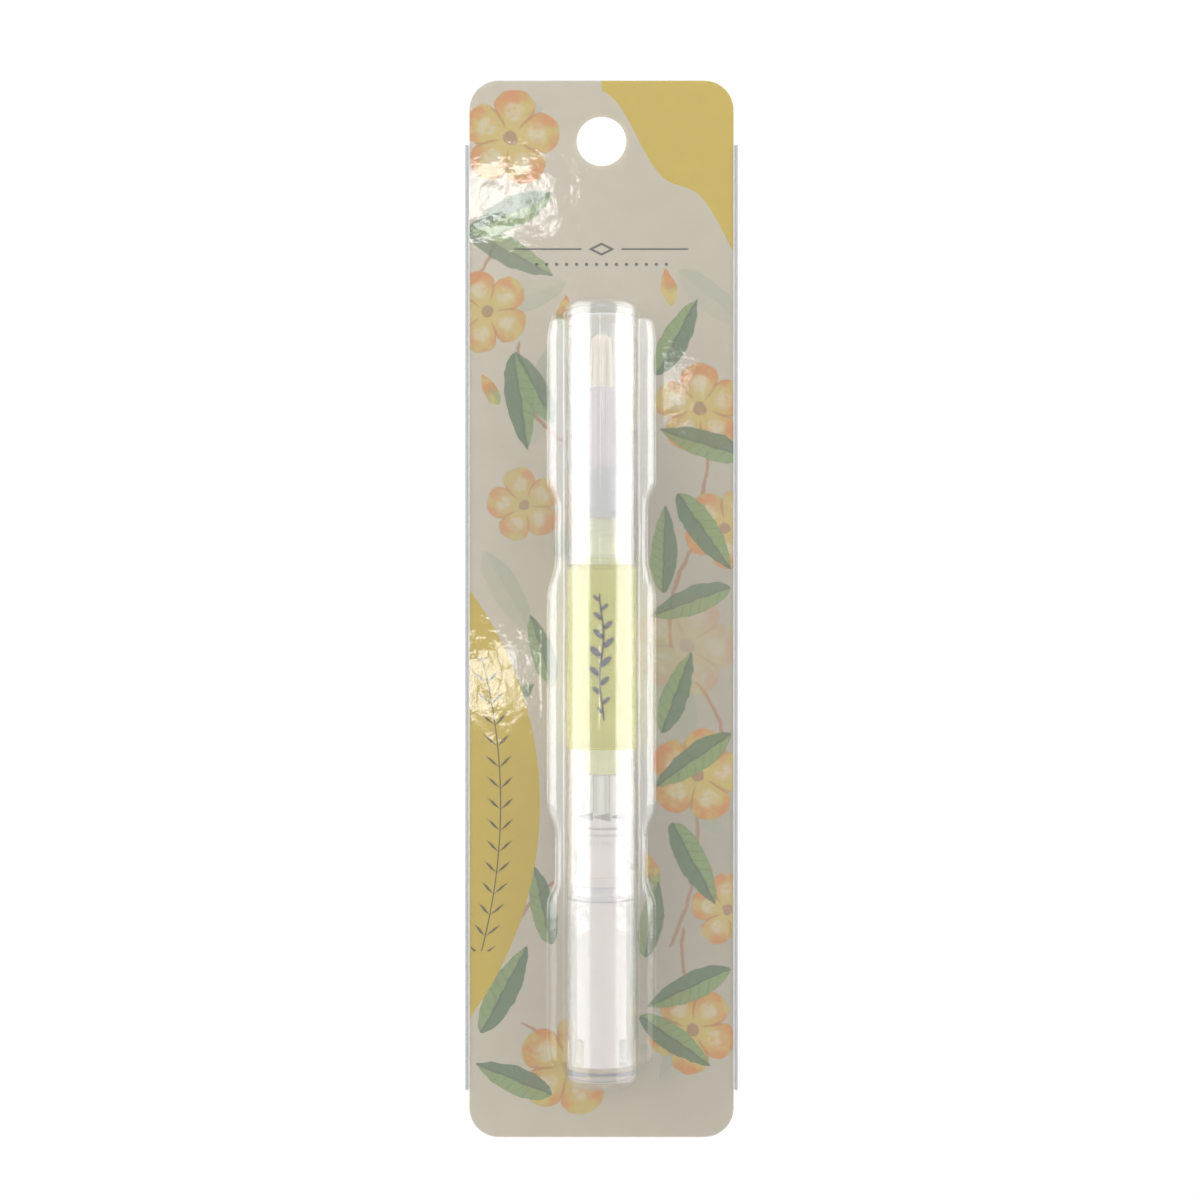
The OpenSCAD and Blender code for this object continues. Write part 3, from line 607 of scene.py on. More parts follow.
def moulded(name, colour, rough, see=0.0, lines=0.0, pitch=9.0, under=0.0, wet=None,
            wet_below=0.0):
    """Moulded plastic with fine grain and faint upright lines: drawing marks or ribs, and on the
    ferrule painted reflections. Below a height it may stand in oil, which tints it."""
    plastic = Finish(name)
    x, y, z = plastic.parts(plastic.place)
    angle = plastic.math("ARCTAN2", y - PEN_Y / MM, x)
    speck = plastic.noise(plastic.place, 3.2, 3.0, 0.6)
    upright = plastic.lines(angle * pitch, 1.0, 2.0)
    # Colour darkens between the upright lines; on the ferrule these lines are painted reflection
    # streaks
    tone = speck.ramp(0.2, 0.8, 0.97, 1.0) * upright.ramp(0.4, 0.6, 1.0 - lines, 1.0)
    body = plastic.mix(tone, rgba(colour, 0.6), rgba(colour))
    if wet:
        dry = z.ramp(wet_below / MM - 0.4, wet_below / MM + 0.2)
        body = plastic.mix(dry, rgba(wet, 0.9), body)
    solid = plastic.surface(colour=body, rough=speck.ramp(0.0, 1.0, rough * 0.85, rough * 1.15),
                            under=under, under_scale=0.6 * MM,
                            normal=plastic.bump(speck, 0.2, 0.01 * MM))
    if not see:
        return plastic.done(solid)
    solidity = upright.ramp(0.3, 0.7, 1 - see * 1.25, 1 - see * 0.75)
    if wet:
        solidity = solidity * dry.ramp(0.0, 1.0, 0.6, 1.0)
    return plastic.done(plastic.blend(solidity, plastic.clear(grey(0.97)), solid))


# Meshes

# Lengths under this, in millimetres, count as nothing
TINY = 1e-6


def add_object(name, data):
    made = bpy.data.objects.new(name, data)
    bpy.context.scene.collection.objects.link(made)
    return made


def sharpen(mesh, degrees=40):
    """Smooth shading, with edges steeper than the angle kept sharp."""
    work = bmesh.new()
    work.from_mesh(mesh)
    for face in work.faces:
        face.smooth = True
    for edge in work.edges:
        edge.smooth = len(edge.link_faces) == 2 and edge.calc_face_angle(0) < math.radians(degrees)
    work.to_mesh(mesh)
    work.free()


def add_piece(name, points, faces, materials, body, spots=None):
    """A mesh piece in the frame's place, riding on a body."""
    mesh = bpy.data.meshes.new(name)
    mesh.from_pydata(points, [], faces)
    for material in materials:
        mesh.materials.append(material)
    if spots:
        mesh.polygons.foreach_set("material_index", spots)
    mesh.update()
    sharpen(mesh)
    piece = add_object(name, mesh)
    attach(piece, body)
    return piece


def rounded(corners, steps=4):
    """A closed profile from (radius, height, rounding, finish) corners, each cut to a curve."""
    path = []
    for i, (r, h, cut, spot) in enumerate(corners):
        here = Vector((r, h))
        if not cut:
            path.append((r, h, spot))
            continue
        before = Vector(corners[i - 1][:2]) - here
        after = Vector(corners[(i + 1) % len(corners)][:2]) - here
        first = here + before.normalized() * cut
        last = here + after.normalized() * cut
        for k in range(steps + 1):
            t = k / steps
            p = first * (1 - t) ** 2 + here * (2 * t * (1 - t)) + last * t ** 2
            path.append((p.x, p.y, spot if k == steps else None))
    return path


def lathe(name, corners, materials, body, sides=128):
    """A piece turned on the pen's axis from a closed profile in millimetres, anticlockwise in
    radius and height. Each corner gives the finish of the wall that follows it."""
    path = rounded(corners)
    spot = 0
    points, faces, spots, rings = [], [], [], []
    for r, h, _ in path:
        count = sides if r > TINY else 1
        rings.append(range(len(points), len(points) + count))
        for k in range(count):
            a = 2 * math.pi * k / sides
            points.append(AXIS + Vector((r * math.cos(a), r * math.sin(a), h)) * MM)
    for i, low in enumerate(rings):
        high = rings[(i + 1) % len(rings)]
        spot = path[i][2] if path[i][2] is not None else spot
        if len(low) == 1 and len(high) == 1:
            continue
        for k in range(sides):
            n = (k + 1) % sides
            quad = [ring[at % len(ring)] for ring, at in ((low, k), (low, n), (high, n), (high, k))]
            # Next to the axis, where a ring is one point, this leaves a triangle
            faces.append(tuple(dict.fromkeys(quad)))
            spots.append(spot)
    return add_piece(name, points, faces, materials, body, spots)


def shape(name, tree, sizes):
    """A piece made by Geometry Nodes, with the tree's inputs set by name."""
    piece = add_object(name, bpy.data.meshes.new(name))
    nodes = piece.modifiers.new("nodes", "NODES")
    nodes.node_group = tree
    for item in tree.interface.items_tree:
        if item.in_out == "INPUT":
            nodes[item.identifier] = sizes[item.name]
    as_mesh(piece)
    if piece.data.materials[0] is None:
        piece.data.materials.pop(index=0)
    return piece


def as_mesh(piece):
    """Turns what the modifiers make of a piece into its plain mesh."""
    graph = bpy.context.evaluated_depsgraph_get()
    made = bpy.data.meshes.new_from_object(piece.evaluated_get(graph), depsgraph=graph,
                                           preserve_all_data_layers=True)
    piece.modifiers.clear()
    piece.data = made


def above_foot(place):
    """Height of a place above the pen's foot, in millimetres."""
    return (place.z - PEN_FOOT) / MM


def dress(node, material):
    """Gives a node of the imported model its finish."""
    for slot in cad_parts[node].material_slots:
        slot.material = material


# Clear sheet. Lengths are millimetres, and heights are counted from the hanging hole.

STEP_HEIGHT = 2.9
# The flat sheet stands as far in front of the card as its folded lips stand behind it
SHEET_FACE = SHEET_HIGH.y / MM
POCKET_CENTRE = -PEN_Y / MM - SHEET_FACE
SHEET_CORNER = 5.0
POCKET_TOP, POCKET_FOOT = -28.25, -159.15
STEP_TOP, STEP_FOOT = -30.45, -156.95
# How the pocket's and the step's end walls flare out: distance past the end, and rise there,
# which is a share of the whole for the pocket and a height for the step
POCKET_FLARE = ((0.45, 0), (0.3, 0.015), (0.2, 0.05), (0.13, 0.15), (0.08, 0.4), (0.04, 0.7))
STEP_FLARE = ((0.5, 0), (0.32, 0.04), (0.2, 0.16), (0.12, 0.5), (0.06, 1.2))
# Length over which the lower step rounds off at each end
STEP_ROUND = 4.8
FOLD_TOP, FOLD_FOOT = -0.7, -161.7
# Radii where the pocket's wall meets the lower step, and where the step meets the flat sheet
WALL_FILLET, TOE_FILLET = 0.4, 0.35
# Shares of the step's length where each waist starts, is narrow, widens again and ends
WAISTS = ((0.213, 0.247, 0.308, 0.348), (0.625, 0.675, 0.747, 0.782))


def smooth(t):
    t = min(1.0, max(0.0, t))
    return t * t * (3 - 2 * t)


def quarter(steps, first=0):
    """Sine and cosine at even steps of a quarter turn."""
    turns = [math.radians(90 * k / steps) for k in range(first, steps + 1)]
    return [(math.sin(a), math.cos(a)) for a in turns]


def step_outline(share):
    """Share of the way from waist to lobe at a share of the lower step's length."""
    return min(1 - smooth((share - start) / (low - start)) + smooth((share - high) / (end - high))
               for start, low, high, end in WAISTS)


def sheet_rows(look, top, bottom):
    """Rows of the sheet from its top edge down: height, pocket inset, pocket rise, step height."""
    edge = look.end_edge / MM
    rows = []
    for _, cos in quarter(8):
        rows.append((top - SHEET_CORNER + SHEET_CORNER * cos, 0, 0, 0))
        rows.append((bottom + SHEET_CORNER - SHEET_CORNER * cos, 0, 0, 0))
    flat = [FOLD_TOP - 2.2 * k for k in range(12)] + [3.6, 1.4, -27.2, -160.4, FOLD_FOOT, -163.4]
    rows += [(h, 0, 0, 0) for h in flat]
    for end, way in ((POCKET_TOP, 1), (POCKET_FOOT, -1)):
        for out, rise in POCKET_FLARE:
            rows.append((end + way * out, edge, rise, 0))
        rows += [(end - way * edge * (1 - cos), edge * (1 - sin), 1, 0) for sin, cos in quarter(8)]
    for end, way in ((STEP_TOP, 1), (STEP_FOOT, -1)):
        rows += [(end + way * out, 0, 1, high) for out, high in STEP_FLARE]
        rows += [(end - way * (1 - cos), 0, 1, STEP_HEIGHT - (1 - sin)) for sin, cos in quarter(6)]
    count = 118
    for k in range(1, count):
        rows.append((STEP_TOP - 1.0 + (STEP_FOOT - STEP_TOP + 2.0) * k / count, 0, 1, STEP_HEIGHT))
    return sorted(rows, key=lambda row: -row[0])


def sheet_half(look, row, reach):
    """Half of the sheet's section: (x, height above the flat sheet) from the crest to the edge."""
    h, inset, rise, step = row
    radius = look.pocket / MM - inset
    share = (h - STEP_FOOT) / (STEP_TOP - STEP_FOOT)
    lobe, waist = look.lobe / MM, look.waist / MM
    wide = waist + (lobe - waist) * step_outline(min(1, max(0, share)))
    near = min(abs(h - STEP_FOOT), abs(STEP_TOP - h)) / STEP_ROUND
    if near < 1:
        wide *= 1 - 0.11 * (1 - math.sqrt(1 - (1 - near) ** 2))
    section = [(radius * sin, POCKET_CENTRE + radius * cos) for sin, cos in quarter(18)]
    for k in (1, 2, 3):
        section.append((radius, POCKET_CENTRE + (step + WALL_FILLET - POCKET_CENTRE) * k / 3))
    for sin, cos in quarter(4, 1):
        section.append((radius + WALL_FILLET * (1 - cos), step + WALL_FILLET * (1 - sin)))
    section = [(x, step + rise * (y - step) if y > step else y) for x, y in section]
    start = radius + WALL_FILLET
    edge_x = min(1.9, (wide - start) * 0.85)
    edge_y = min(1.8, 0.65 * step)
    for k in (1, 2):
        section.append((start + (wide - edge_x - start) * k / 2, step))
    for sin, cos in quarter(7, 1):
        section.append((wide - edge_x + edge_x * sin, step - edge_y * (1 - cos)))
    toe = min(TOE_FILLET, 0.3 * step)
    section.append((wide, (step - edge_y + toe) / 2))
    section.append((wide, toe))
    for sin, cos in quarter(4, 1):
        section.append((wide + TOE_FILLET * (1 - cos), toe * (1 - sin)))
    last = wide + TOE_FILLET
    for k in range(1, 9):
        section.append((last + (reach - last) * (k / 8) ** 1.15, 0.0))
    for k in range(1, len(section) - 1):
        if section[k][1] < TINY and section[k - 1][1] < TINY:
            section[k] = (max(section[k][0], section[k - 1][0] + 0.1), 0.0)
    return section


def strip_faces(upper, lower):
    """Faces between two rows of points."""
    return [(upper[k], lower[k], lower[k + 1], upper[k + 1]) for k in range(len(upper) - 1)]


def open_hole(mesh, radius):
    """Cuts a round hole through the flat sheet at the frame's origin."""
    work = bmesh.new()
    work.from_mesh(mesh)
    reach = radius + 3 * MM

    def inside(part, slack=0.0):
        return max(abs(c) for v in part.verts for c in v.co.xz) < reach + slack

    near = [face for face in work.faces if inside(face)]
    bmesh.ops.delete(work, geom=near, context="FACES")
    rim = [edge for edge in work.edges if len(edge.link_faces) == 1 and inside(edge, 0.1 * MM)]
    inner = {}
    for edge in rim:
        for vert in edge.verts:
            if vert not in inner:
                way = vert.co.xz.normalized() * radius
                inner[vert] = work.verts.new((way.x, vert.co.y, way.y))
    for edge in rim:
        loop = edge.link_loops[0]
        a, b = loop.vert, loop.link_loop_next.vert
        work.faces.new((b, a, inner[a], inner[b]))
    work.to_mesh(mesh)
    work.free()


def sheet_mesh(look):
    """Points and faces of the sheet's outer surface, with its folded edges."""
    top, bottom = CARD_HIGH.z / MM, CARD_LOW.z / MM
    half_card = CARD_HIGH.x / MM
    points, faces, rows, flaps = [], [], [], []
    ripple = look.ripple / MM
    bend = half_card + 0.125
    lip = [(bend + SHEET_FACE * math.cos(math.radians(a)), SHEET_FACE * math.sin(math.radians(a)))
           for a in range(-90, 91, 18)]
    lip += [(bend - look.lip / MM * k / 2, SHEET_FACE) for k in (1, 2)]
    for row in sheet_rows(look, top, bottom):
        h = row[0]
        from_end = min(top - h, h - bottom)
        reach = half_card
        if from_end < SHEET_CORNER:
            cut = SHEET_CORNER ** 2 - (SHEET_CORNER - from_end) ** 2
            reach = half_card - SHEET_CORNER + math.sqrt(max(0, cut))
        half = sheet_half(look, row, reach)
        line = [(-x, y) for x, y in reversed(half[1:])] + half
        rows.append(range(len(points), len(points) + len(line)))
        for x, y in line:
            lift = min(1.0, y / 1.5) if y > 0 else 0.0
            wave = (noise.noise(Vector((x * 0.5, y * 0.35, h * 0.16))) - 1) * ripple * 0.5 * lift
            side = noise.noise(Vector((x * 0.4 + 40, y * 0.3, h * 0.2))) * ripple * lift
            points.append(Vector((x + side, -SHEET_FACE - y - wave, h)) * MM)
        if FOLD_FOOT - TINY <= h <= FOLD_TOP + TINY:
            flap = []
            for way, root in ((-1, rows[-1][0]), (1, rows[-1][-1])):
                flap.append([root, *range(len(points), len(points) + len(lip))])
                points += [Vector((way * x, y, h)) * MM for x, y in lip]
            flaps.append(flap)
    for upper, lower in zip(rows, rows[1:]):
        faces += strip_faces(upper, lower)
    for upper, lower in zip(flaps, flaps[1:]):
        faces += [quad[::-1] for quad in strip_faces(upper[0], lower[0])]
        faces += strip_faces(upper[1], lower[1])
    return points, faces


# Operators

# Millimetres from the hanging hole
CAMERA_PLACE = (-0.26, -334.3, -78.2)
CAMERA_LENS = 58.8
# x, z, width and height of the bright patches that the small lamps make on the flat sheet
GLARE_PATCHES = ((-17.3, -10, 30, 22), (-19, -91.8, 17, 26), (10.8, -42, 7, 18))
# The lamps stand this many times as far from the sheet as the camera
LAMP_AWAY = 1.2
# Degrees round from the front where each window starts, is full, fades and ends
WINDOW_EDGES = (35, 43, 98, 118)
FLOOR_REACH = 0.45
# Where the three sealing rings stand on the neck, from the shoulder up
RING_SHARES = (0.19, 0.62, 0.76)


class OILPEN_OT_stage(bpy.types.Operator):
    """Makes the floor, the room with its two side windows, the small lamps and the camera"""
    bl_idname = "oilpen.stage"
    bl_label = "Stage"

    def execute(self, context):
        look = context.scene.oil_pen_stage
        camera = add_object("camera", bpy.data.cameras.new("camera"))
        camera.data.lens, camera.data.sensor_width = CAMERA_LENS, 36
        camera.data.clip_start = 0.01
        camera.location = [c * MM for c in CAMERA_PLACE]
        camera.rotation_euler = (math.radians(90), 0, 0)
        context.scene.camera = camera
        self.floor(look)
        self.room(context, look)
        for x, z, wide, tall in GLARE_PATCHES:
            spot = Vector((x * MM, CARD_LOW.y, z * MM))
            away = spot - camera.location
            place = spot + Vector((away.x, -away.y, away.z)) * LAMP_AWAY
            self.lamp(look.glare, place, spot, wide * MM, tall * MM)
        context.scene.view_settings.view_transform = "Standard"
        context.scene.cycles.transparent_max_bounces = 32
        context.scene.cycles.max_bounces = 24
        context.scene.cycles.transmission_bounces = 24
        return {"FINISHED"}

    def lamp(self, brightness, place, target, wide, tall):
        """An area lamp of a given brightness, which mirrors show and the camera doesn't."""
        data = bpy.data.lights.new("glare_lamp", "AREA")
        data.shape, data.size, data.size_y = "RECTANGLE", wide, tall
        data.energy = brightness * math.pi * wide * tall
        lamp = add_object("glare_lamp", data)
        lamp.location = place
        lamp.rotation_euler = (target - place).to_track_quat("-Z", "Y").to_euler()
        lamp.visible_camera = False

    def floor(self, look):
        level = CARD_LOW.z - look.drop
        mesh = bpy.data.meshes.new("floor")
        corners = ((-1, -1), (1, -1), (1, 1), (-1, 1))
        mesh.from_pydata([(x * FLOOR_REACH, y * FLOOR_REACH, level) for x, y in corners], [],
                         [(0, 1, 2, 3)])
        paper = Finish("floor_paper")
        grain = paper.noise(paper.place, 0.04)
        colour = paper.mix(grain, rgba(look.floor, 0.27), rgba(look.floor, 0.3))
        dull = paper.surface(colour=colour, rough=0.9, shine=0.0)
        bright = paper.node("ShaderNodeEmission", {"Color": grey(1), "Strength": 1.05})
        ray = paper.node("ShaderNodeLightPath")
        seen = ray.out("Is Camera Ray").most(ray.out("Is Glossy Ray") * 0.6)
        mesh.materials.append(paper.done(paper.blend(seen, dull, bright)))
        floor = add_object("floor", mesh)

    def room(self, context, look):
        world = bpy.data.worlds.new("room")
        world.use_nodes = True
        room = Graph(world.node_tree)
        room.tree.nodes.clear()
        x, y, z = room.parts(room.node("ShaderNodeTexCoord").out("Generated"))
        start, full, fade, end = (math.radians(a) for a in WINDOW_EDGES)
        aside = room.math("ARCTAN2", abs(x), -y) - x.ramp(-0.05, 0.05) * math.radians(8)
        window = aside.ramp(start, full) * aside.ramp(fade, end, 1.0, 0.0) * \
            z.ramp(-0.16, -0.14, 0.3, 1.0) * abs(z).ramp(0.72, 0.9, 1.0, 0.0)
        ray = room.node("ShaderNodeLightPath")
        mirrored = ray.out("Is Glossy Ray")
        soft = window * look.side_light + look.ambient
        sharp = window * look.window_shine + look.room_shine
        lit = soft + mirrored * (sharp - soft)
        power = lit + ray.out("Is Camera Ray") * (look.backdrop - lit)
        back = room.node("ShaderNodeBackground", {"Color": grey(1), "Strength": power})
        room.node("ShaderNodeOutputWorld", {"Surface": back})
        context.scene.world = world


class OILPEN_OT_card(bpy.types.Operator):
    """Prints the backing card, region by region"""
    bl_idname = "oilpen.card"
    bl_label = "Backing card"

    def execute(self, context):
        look = context.scene.oil_pen_card
        motifs = ((False, ghost_motif(look), GHOST_LEAVES), (False, twig_motif(look), TWIGS),
                  (True, blossom_motif(look), BLOSSOMS), (False, bud_motif(look), BUDS),
                  (False, leaf_motif(look), LEAVES))
        spans = list(zip(PRINT_CUTS, PRINT_CUTS[1:]))
        regions = [(west, east, foot, head) for head, foot in spans
                   for west, east in ((-30, 0), (0, 30))]
        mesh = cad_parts["backing_card"].data.copy()
        mesh.name = "printed_card"
        mesh.materials.clear()
        mesh.materials.append(plain_board())
        for i, region in enumerate(regions):
            mesh.materials.append(printed_face(i + 1, region, motifs))
        work = bmesh.new()
        work.from_mesh(mesh)
        bmesh.ops.remove_doubles(work, verts=work.verts, dist=1e-6)
        cuts = [((0, 0, 0), (1, 0, 0))] + [((0, 0, z * MM), (0, 0, 1)) for z in PRINT_CUTS[1:-1]]
        for place, way in cuts:
            bmesh.ops.bisect_plane(work, geom=work.verts[:] + work.edges[:] + work.faces[:],
                                   plane_co=place, plane_no=way)
        front = min(v.co.y for v in work.verts)
        for face in work.faces:
            middle = face.calc_center_median() / MM
            face.material_index = 0
            if face.normal.y < -0.9 and max(v.co.y for v in face.verts) < front + 0.01 * MM:
                face.material_index = 1 + next(
                    i for i, (west, east, foot, head) in enumerate(regions)
                    if west <= middle.x <= east and foot <= middle.z <= head)
        work.to_mesh(mesh)
        work.free()
        sharpen(mesh)
        card = add_object("printed_card", mesh)
        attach(card, "card")
        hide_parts("backing_card")
        return {"FINISHED"}


class OILPEN_OT_sheet(bpy.types.Operator):
    """Draws the clear sheet with its pocket, its lobed step and its folded edges"""
    bl_idname = "oilpen.sheet"
    bl_label = "Clear blister"

    def execute(self, context):
        look = context.scene.oil_pen_sheet
        points, faces = sheet_mesh(look)
        sheet = add_piece("clear_blister", points, faces, [clear_sheet()], "pack")
        open_hole(sheet.data, look.hole)
        wall = sheet.modifiers.new("wall", "SOLIDIFY")
        wall.thickness, wall.offset = look.wall, -1
        as_mesh(sheet)
        sharpen(sheet.data, 60)
        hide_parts("blister_shell")
        return {"FINISHED"}


class OILPEN_OT_clear_parts(bpy.types.Operator):
    """Turns the cap and the barrel from clear plastic and finishes the clear knob and rings"""
    bl_idname = "oilpen.clear_parts"
    bl_label = "Cap, barrel and knob"

    def execute(self, context):
        look = context.scene.oil_pen_pen
        clear = clear_glass("clear_plastic", look.clear)
        wet = tinted_clear("wetted_wall", (1, 1, 1))
        # Painted shade: the three sealing rings are tinted and hazier than the rest of the barrel,
        # standing in for the darker lines their edges show
        ringed = clear_glass("seal_rings", look.ring, haze=0.12)
        outer = PEN_RADIUS / MM
        foot, neck, rim = above_foot(BARREL_LOW), above_foot(BARREL_HIGH), above_foot(CAP_LOW)
        shoulder, top = rim - 0.05, above_foot(CAP_HIGH)
        oil_low, oil_high = above_foot(OIL_LOW), above_foot(OIL_HIGH) + 0.02
        bore, neck_r, ring_r, throat = outer - 1.05, 4.55, 4.7, 3.4
        wet_top = oil_high + 2.3
        rings = []
        for share in RING_SHARES:
            low = shoulder + (neck - shoulder) * share - 0.25
            rings += [(neck_r, low, 0.05, 2), (ring_r, low, 0.1, 2), (ring_r, low + 0.5, 0.1, 2),
                      (neck_r, low + 0.5, 0.05, 0)]
        barrel = lathe("pen_barrel", [
            (bore, foot, 0.1, 0), (outer, foot, 0.15, 0), (outer, shoulder, 0.25, 0),
            (neck_r, shoulder, 0.1, 0), *rings, (neck_r, neck, 0.15, 0), (throat, neck, 0.1, 0),
            (throat, wet_top, 0, 1), (throat, oil_high, 0, 1), (bore, oil_high, 0, 1),
            (bore, oil_low, 0, 0),
        ], [clear, wet, ringed], "pack")
        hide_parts("barrel")
        inner, crown, gate = outer - 1, top - 1.4, top - 1.6
        cap = lathe("pen_cap", [
            (inner, rim, 0.1, 0), (outer, rim, 0.15, 0), (outer, top, 1.2, 0), (0, top, 0, 0),
            (0, gate, 0, 0), (0.6, gate, 0.06, 0), (0.6, crown, 0.05, 0), (inner, crown, 0.8, 0),
        ], [clear], "cap")
        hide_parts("cap")
        dress("knob_shell", clear)
        dress("retaining_ring", clear)
        return {"FINISHED"}


class OILPEN_OT_inner_parts(bpy.types.Operator):
    """Finishes the drive, the piston, the collar, the ferrule and the feed tube"""
    bl_idname = "oilpen.inner_parts"
    bl_label = "Inner pieces"

    def execute(self, context):
        look = context.scene.oil_pen_pen
        white = moulded("white_plastic", look.core, 0.42, lines=0.05, under=0.15)
        dress("drive_core", white)
        dress("feed_screw", white)
        dress("ratchet_ring", white)
        dress("screw_nut", moulded("ribbed_insert", look.nut, 0.3, see=0.3, lines=0.12, pitch=8.0))
        dress("piston", moulded("seal_plastic", look.seal, 0.35, see=0.25))
        dress("neck_plug", moulded("grey_plastic", look.collar, 0.3, see=0.1, wet=look.oil_body,
                                   wet_below=BARREL_HIGH.z))
        # Painted reflection: the ferrule's upright lines stand in for the streaks that the cap
        # mirrors on it
        dress("ferrule", moulded("tinted_plastic", look.ferrule, 0.2, see=0.15, lines=0.5))
        dress("feed_tube", moulded("tube_plastic", look.ferrule, 0.25, see=0.3))
        return {"FINISHED"}


class OILPEN_OT_oil(bpy.types.Operator):
    """Fills the barrel and its neck with oil"""
    bl_idname = "oilpen.oil"
    bl_label = "Oil"

    def execute(self, context):
        look = context.scene.oil_pen_pen
        liquid = tinted_clear("cuticle_oil", look.oil, 0.26)
        low, high = above_foot(OIL_LOW), above_foot(OIL_HIGH)
        radius = (OIL_HIGH.x - OIL_LOW.x) / 2 / MM
        fill = lathe("oil_fill", [(0, low, 0, 0), (radius, low, 0.1, 0), (radius, high, 0.05, 0),
                                  (0, high, 0, 0)], [liquid], "pack")
        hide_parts("oil")
        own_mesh(fill)
        dress("neck_oil", liquid)
        return {"FINISHED"}


class OILPEN_OT_brush(bpy.types.Operator):
    """Sets the bristles in the ferrule"""
    bl_idname = "oilpen.brush"
    bl_label = "Brush"

    def execute(self, context):
        look = context.scene.oil_pen_brush
        fibre = moulded("bristle_fibre", look.colour, 0.5, lines=0.15, pitch=20.0)
        tree = self.tuft_tree(fibre)
        sunk, spare = 0.5 * MM, 0.05 * MM
        piece = shape("brush_tuft", tree, {
            "Strands": look.strands, "Outer Radius": look.outer, "Inner Radius": look.inner,
            "Root": (0.0, PEN_Y, FERRULE_HIGH.z - sunk),
            "Length": TUFT_HIGH.z - FERRULE_HIGH.z + sunk - spare, "Strand Radius": look.strand,
            "Taper": look.taper, "Dome": look.dome, "Ragged": look.ragged, "Seed": look.seed})
        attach(piece, "pack")
        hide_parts("bristles")
        return {"FINISHED"}

    def tuft_tree(self, fibre):
        """Strands on a sunflower spiral that lean in to a domed, slightly ragged tip."""
        tuft = Graph(bpy.data.node_groups.new("Brush tuft", "GeometryNodeTree"))
        size = tuft.inputs(Int=["Strands", "Seed"], Vector=["Root"],
                           Float=["Outer Radius", "Inner Radius", "Length", "Strand Radius",
                                  "Taper", "Dome", "Ragged"])
        index = tuft.node("GeometryNodeInputIndex")
        outer, inner = size("Outer Radius"), size("Inner Radius")
        share = (index + 0.5) / size("Strands")
        radius = (inner ** 2.0 + (outer ** 2.0 - inner ** 2.0) * share) ** 0.5
        golden_angle = math.pi * (3 - math.sqrt(5))
        angle = index * golden_angle
        x, y = radius * angle.cos(), radius * angle.sin()
        place = tuft.vector("ADD", tuft.combine(x, y, 0.0), size("Root"))
        roots = tuft.node("GeometryNodePoints", {"Count": size("Strands"), "Position": place})
        chance = tuft.node("FunctionNodeRandomValue", {2: 0.0, 3: 1.0, 7: index, 8: size("Seed")},
                           data_type="FLOAT").out(1)
        tall = size("Length") * (1.0 - size("Dome") * (radius / outer) ** 2.0
                                 - size("Ragged") * chance)
        lean = size("Taper") * -1.0 / size("Length")
        turn = tuft.node("FunctionNodeAlignRotationToVector",
                         {"Vector": tuft.combine(x * lean, y * lean, 1.0)}, axis="Z")
        strand = tuft.node("GeometryNodeMeshCone",
                           {"Vertices": 5, "Side Segments": 3, "Radius Top": 0.35,
                            "Radius Bottom": 1.0, "Depth": 1.0})
        scale = tuft.combine(size("Strand Radius"), size("Strand Radius"), tall)
        copies = tuft.node("GeometryNodeInstanceOnPoints",
                           {"Points": roots, "Instance": strand, "Rotation": turn, "Scale": scale})
        solid = tuft.node("GeometryNodeRealizeInstances", {"Geometry": copies})
        painted = tuft.node("GeometryNodeSetMaterial", {"Geometry": solid, "Material": fibre})
        return tuft.output("Geometry", "Geometry", painted)


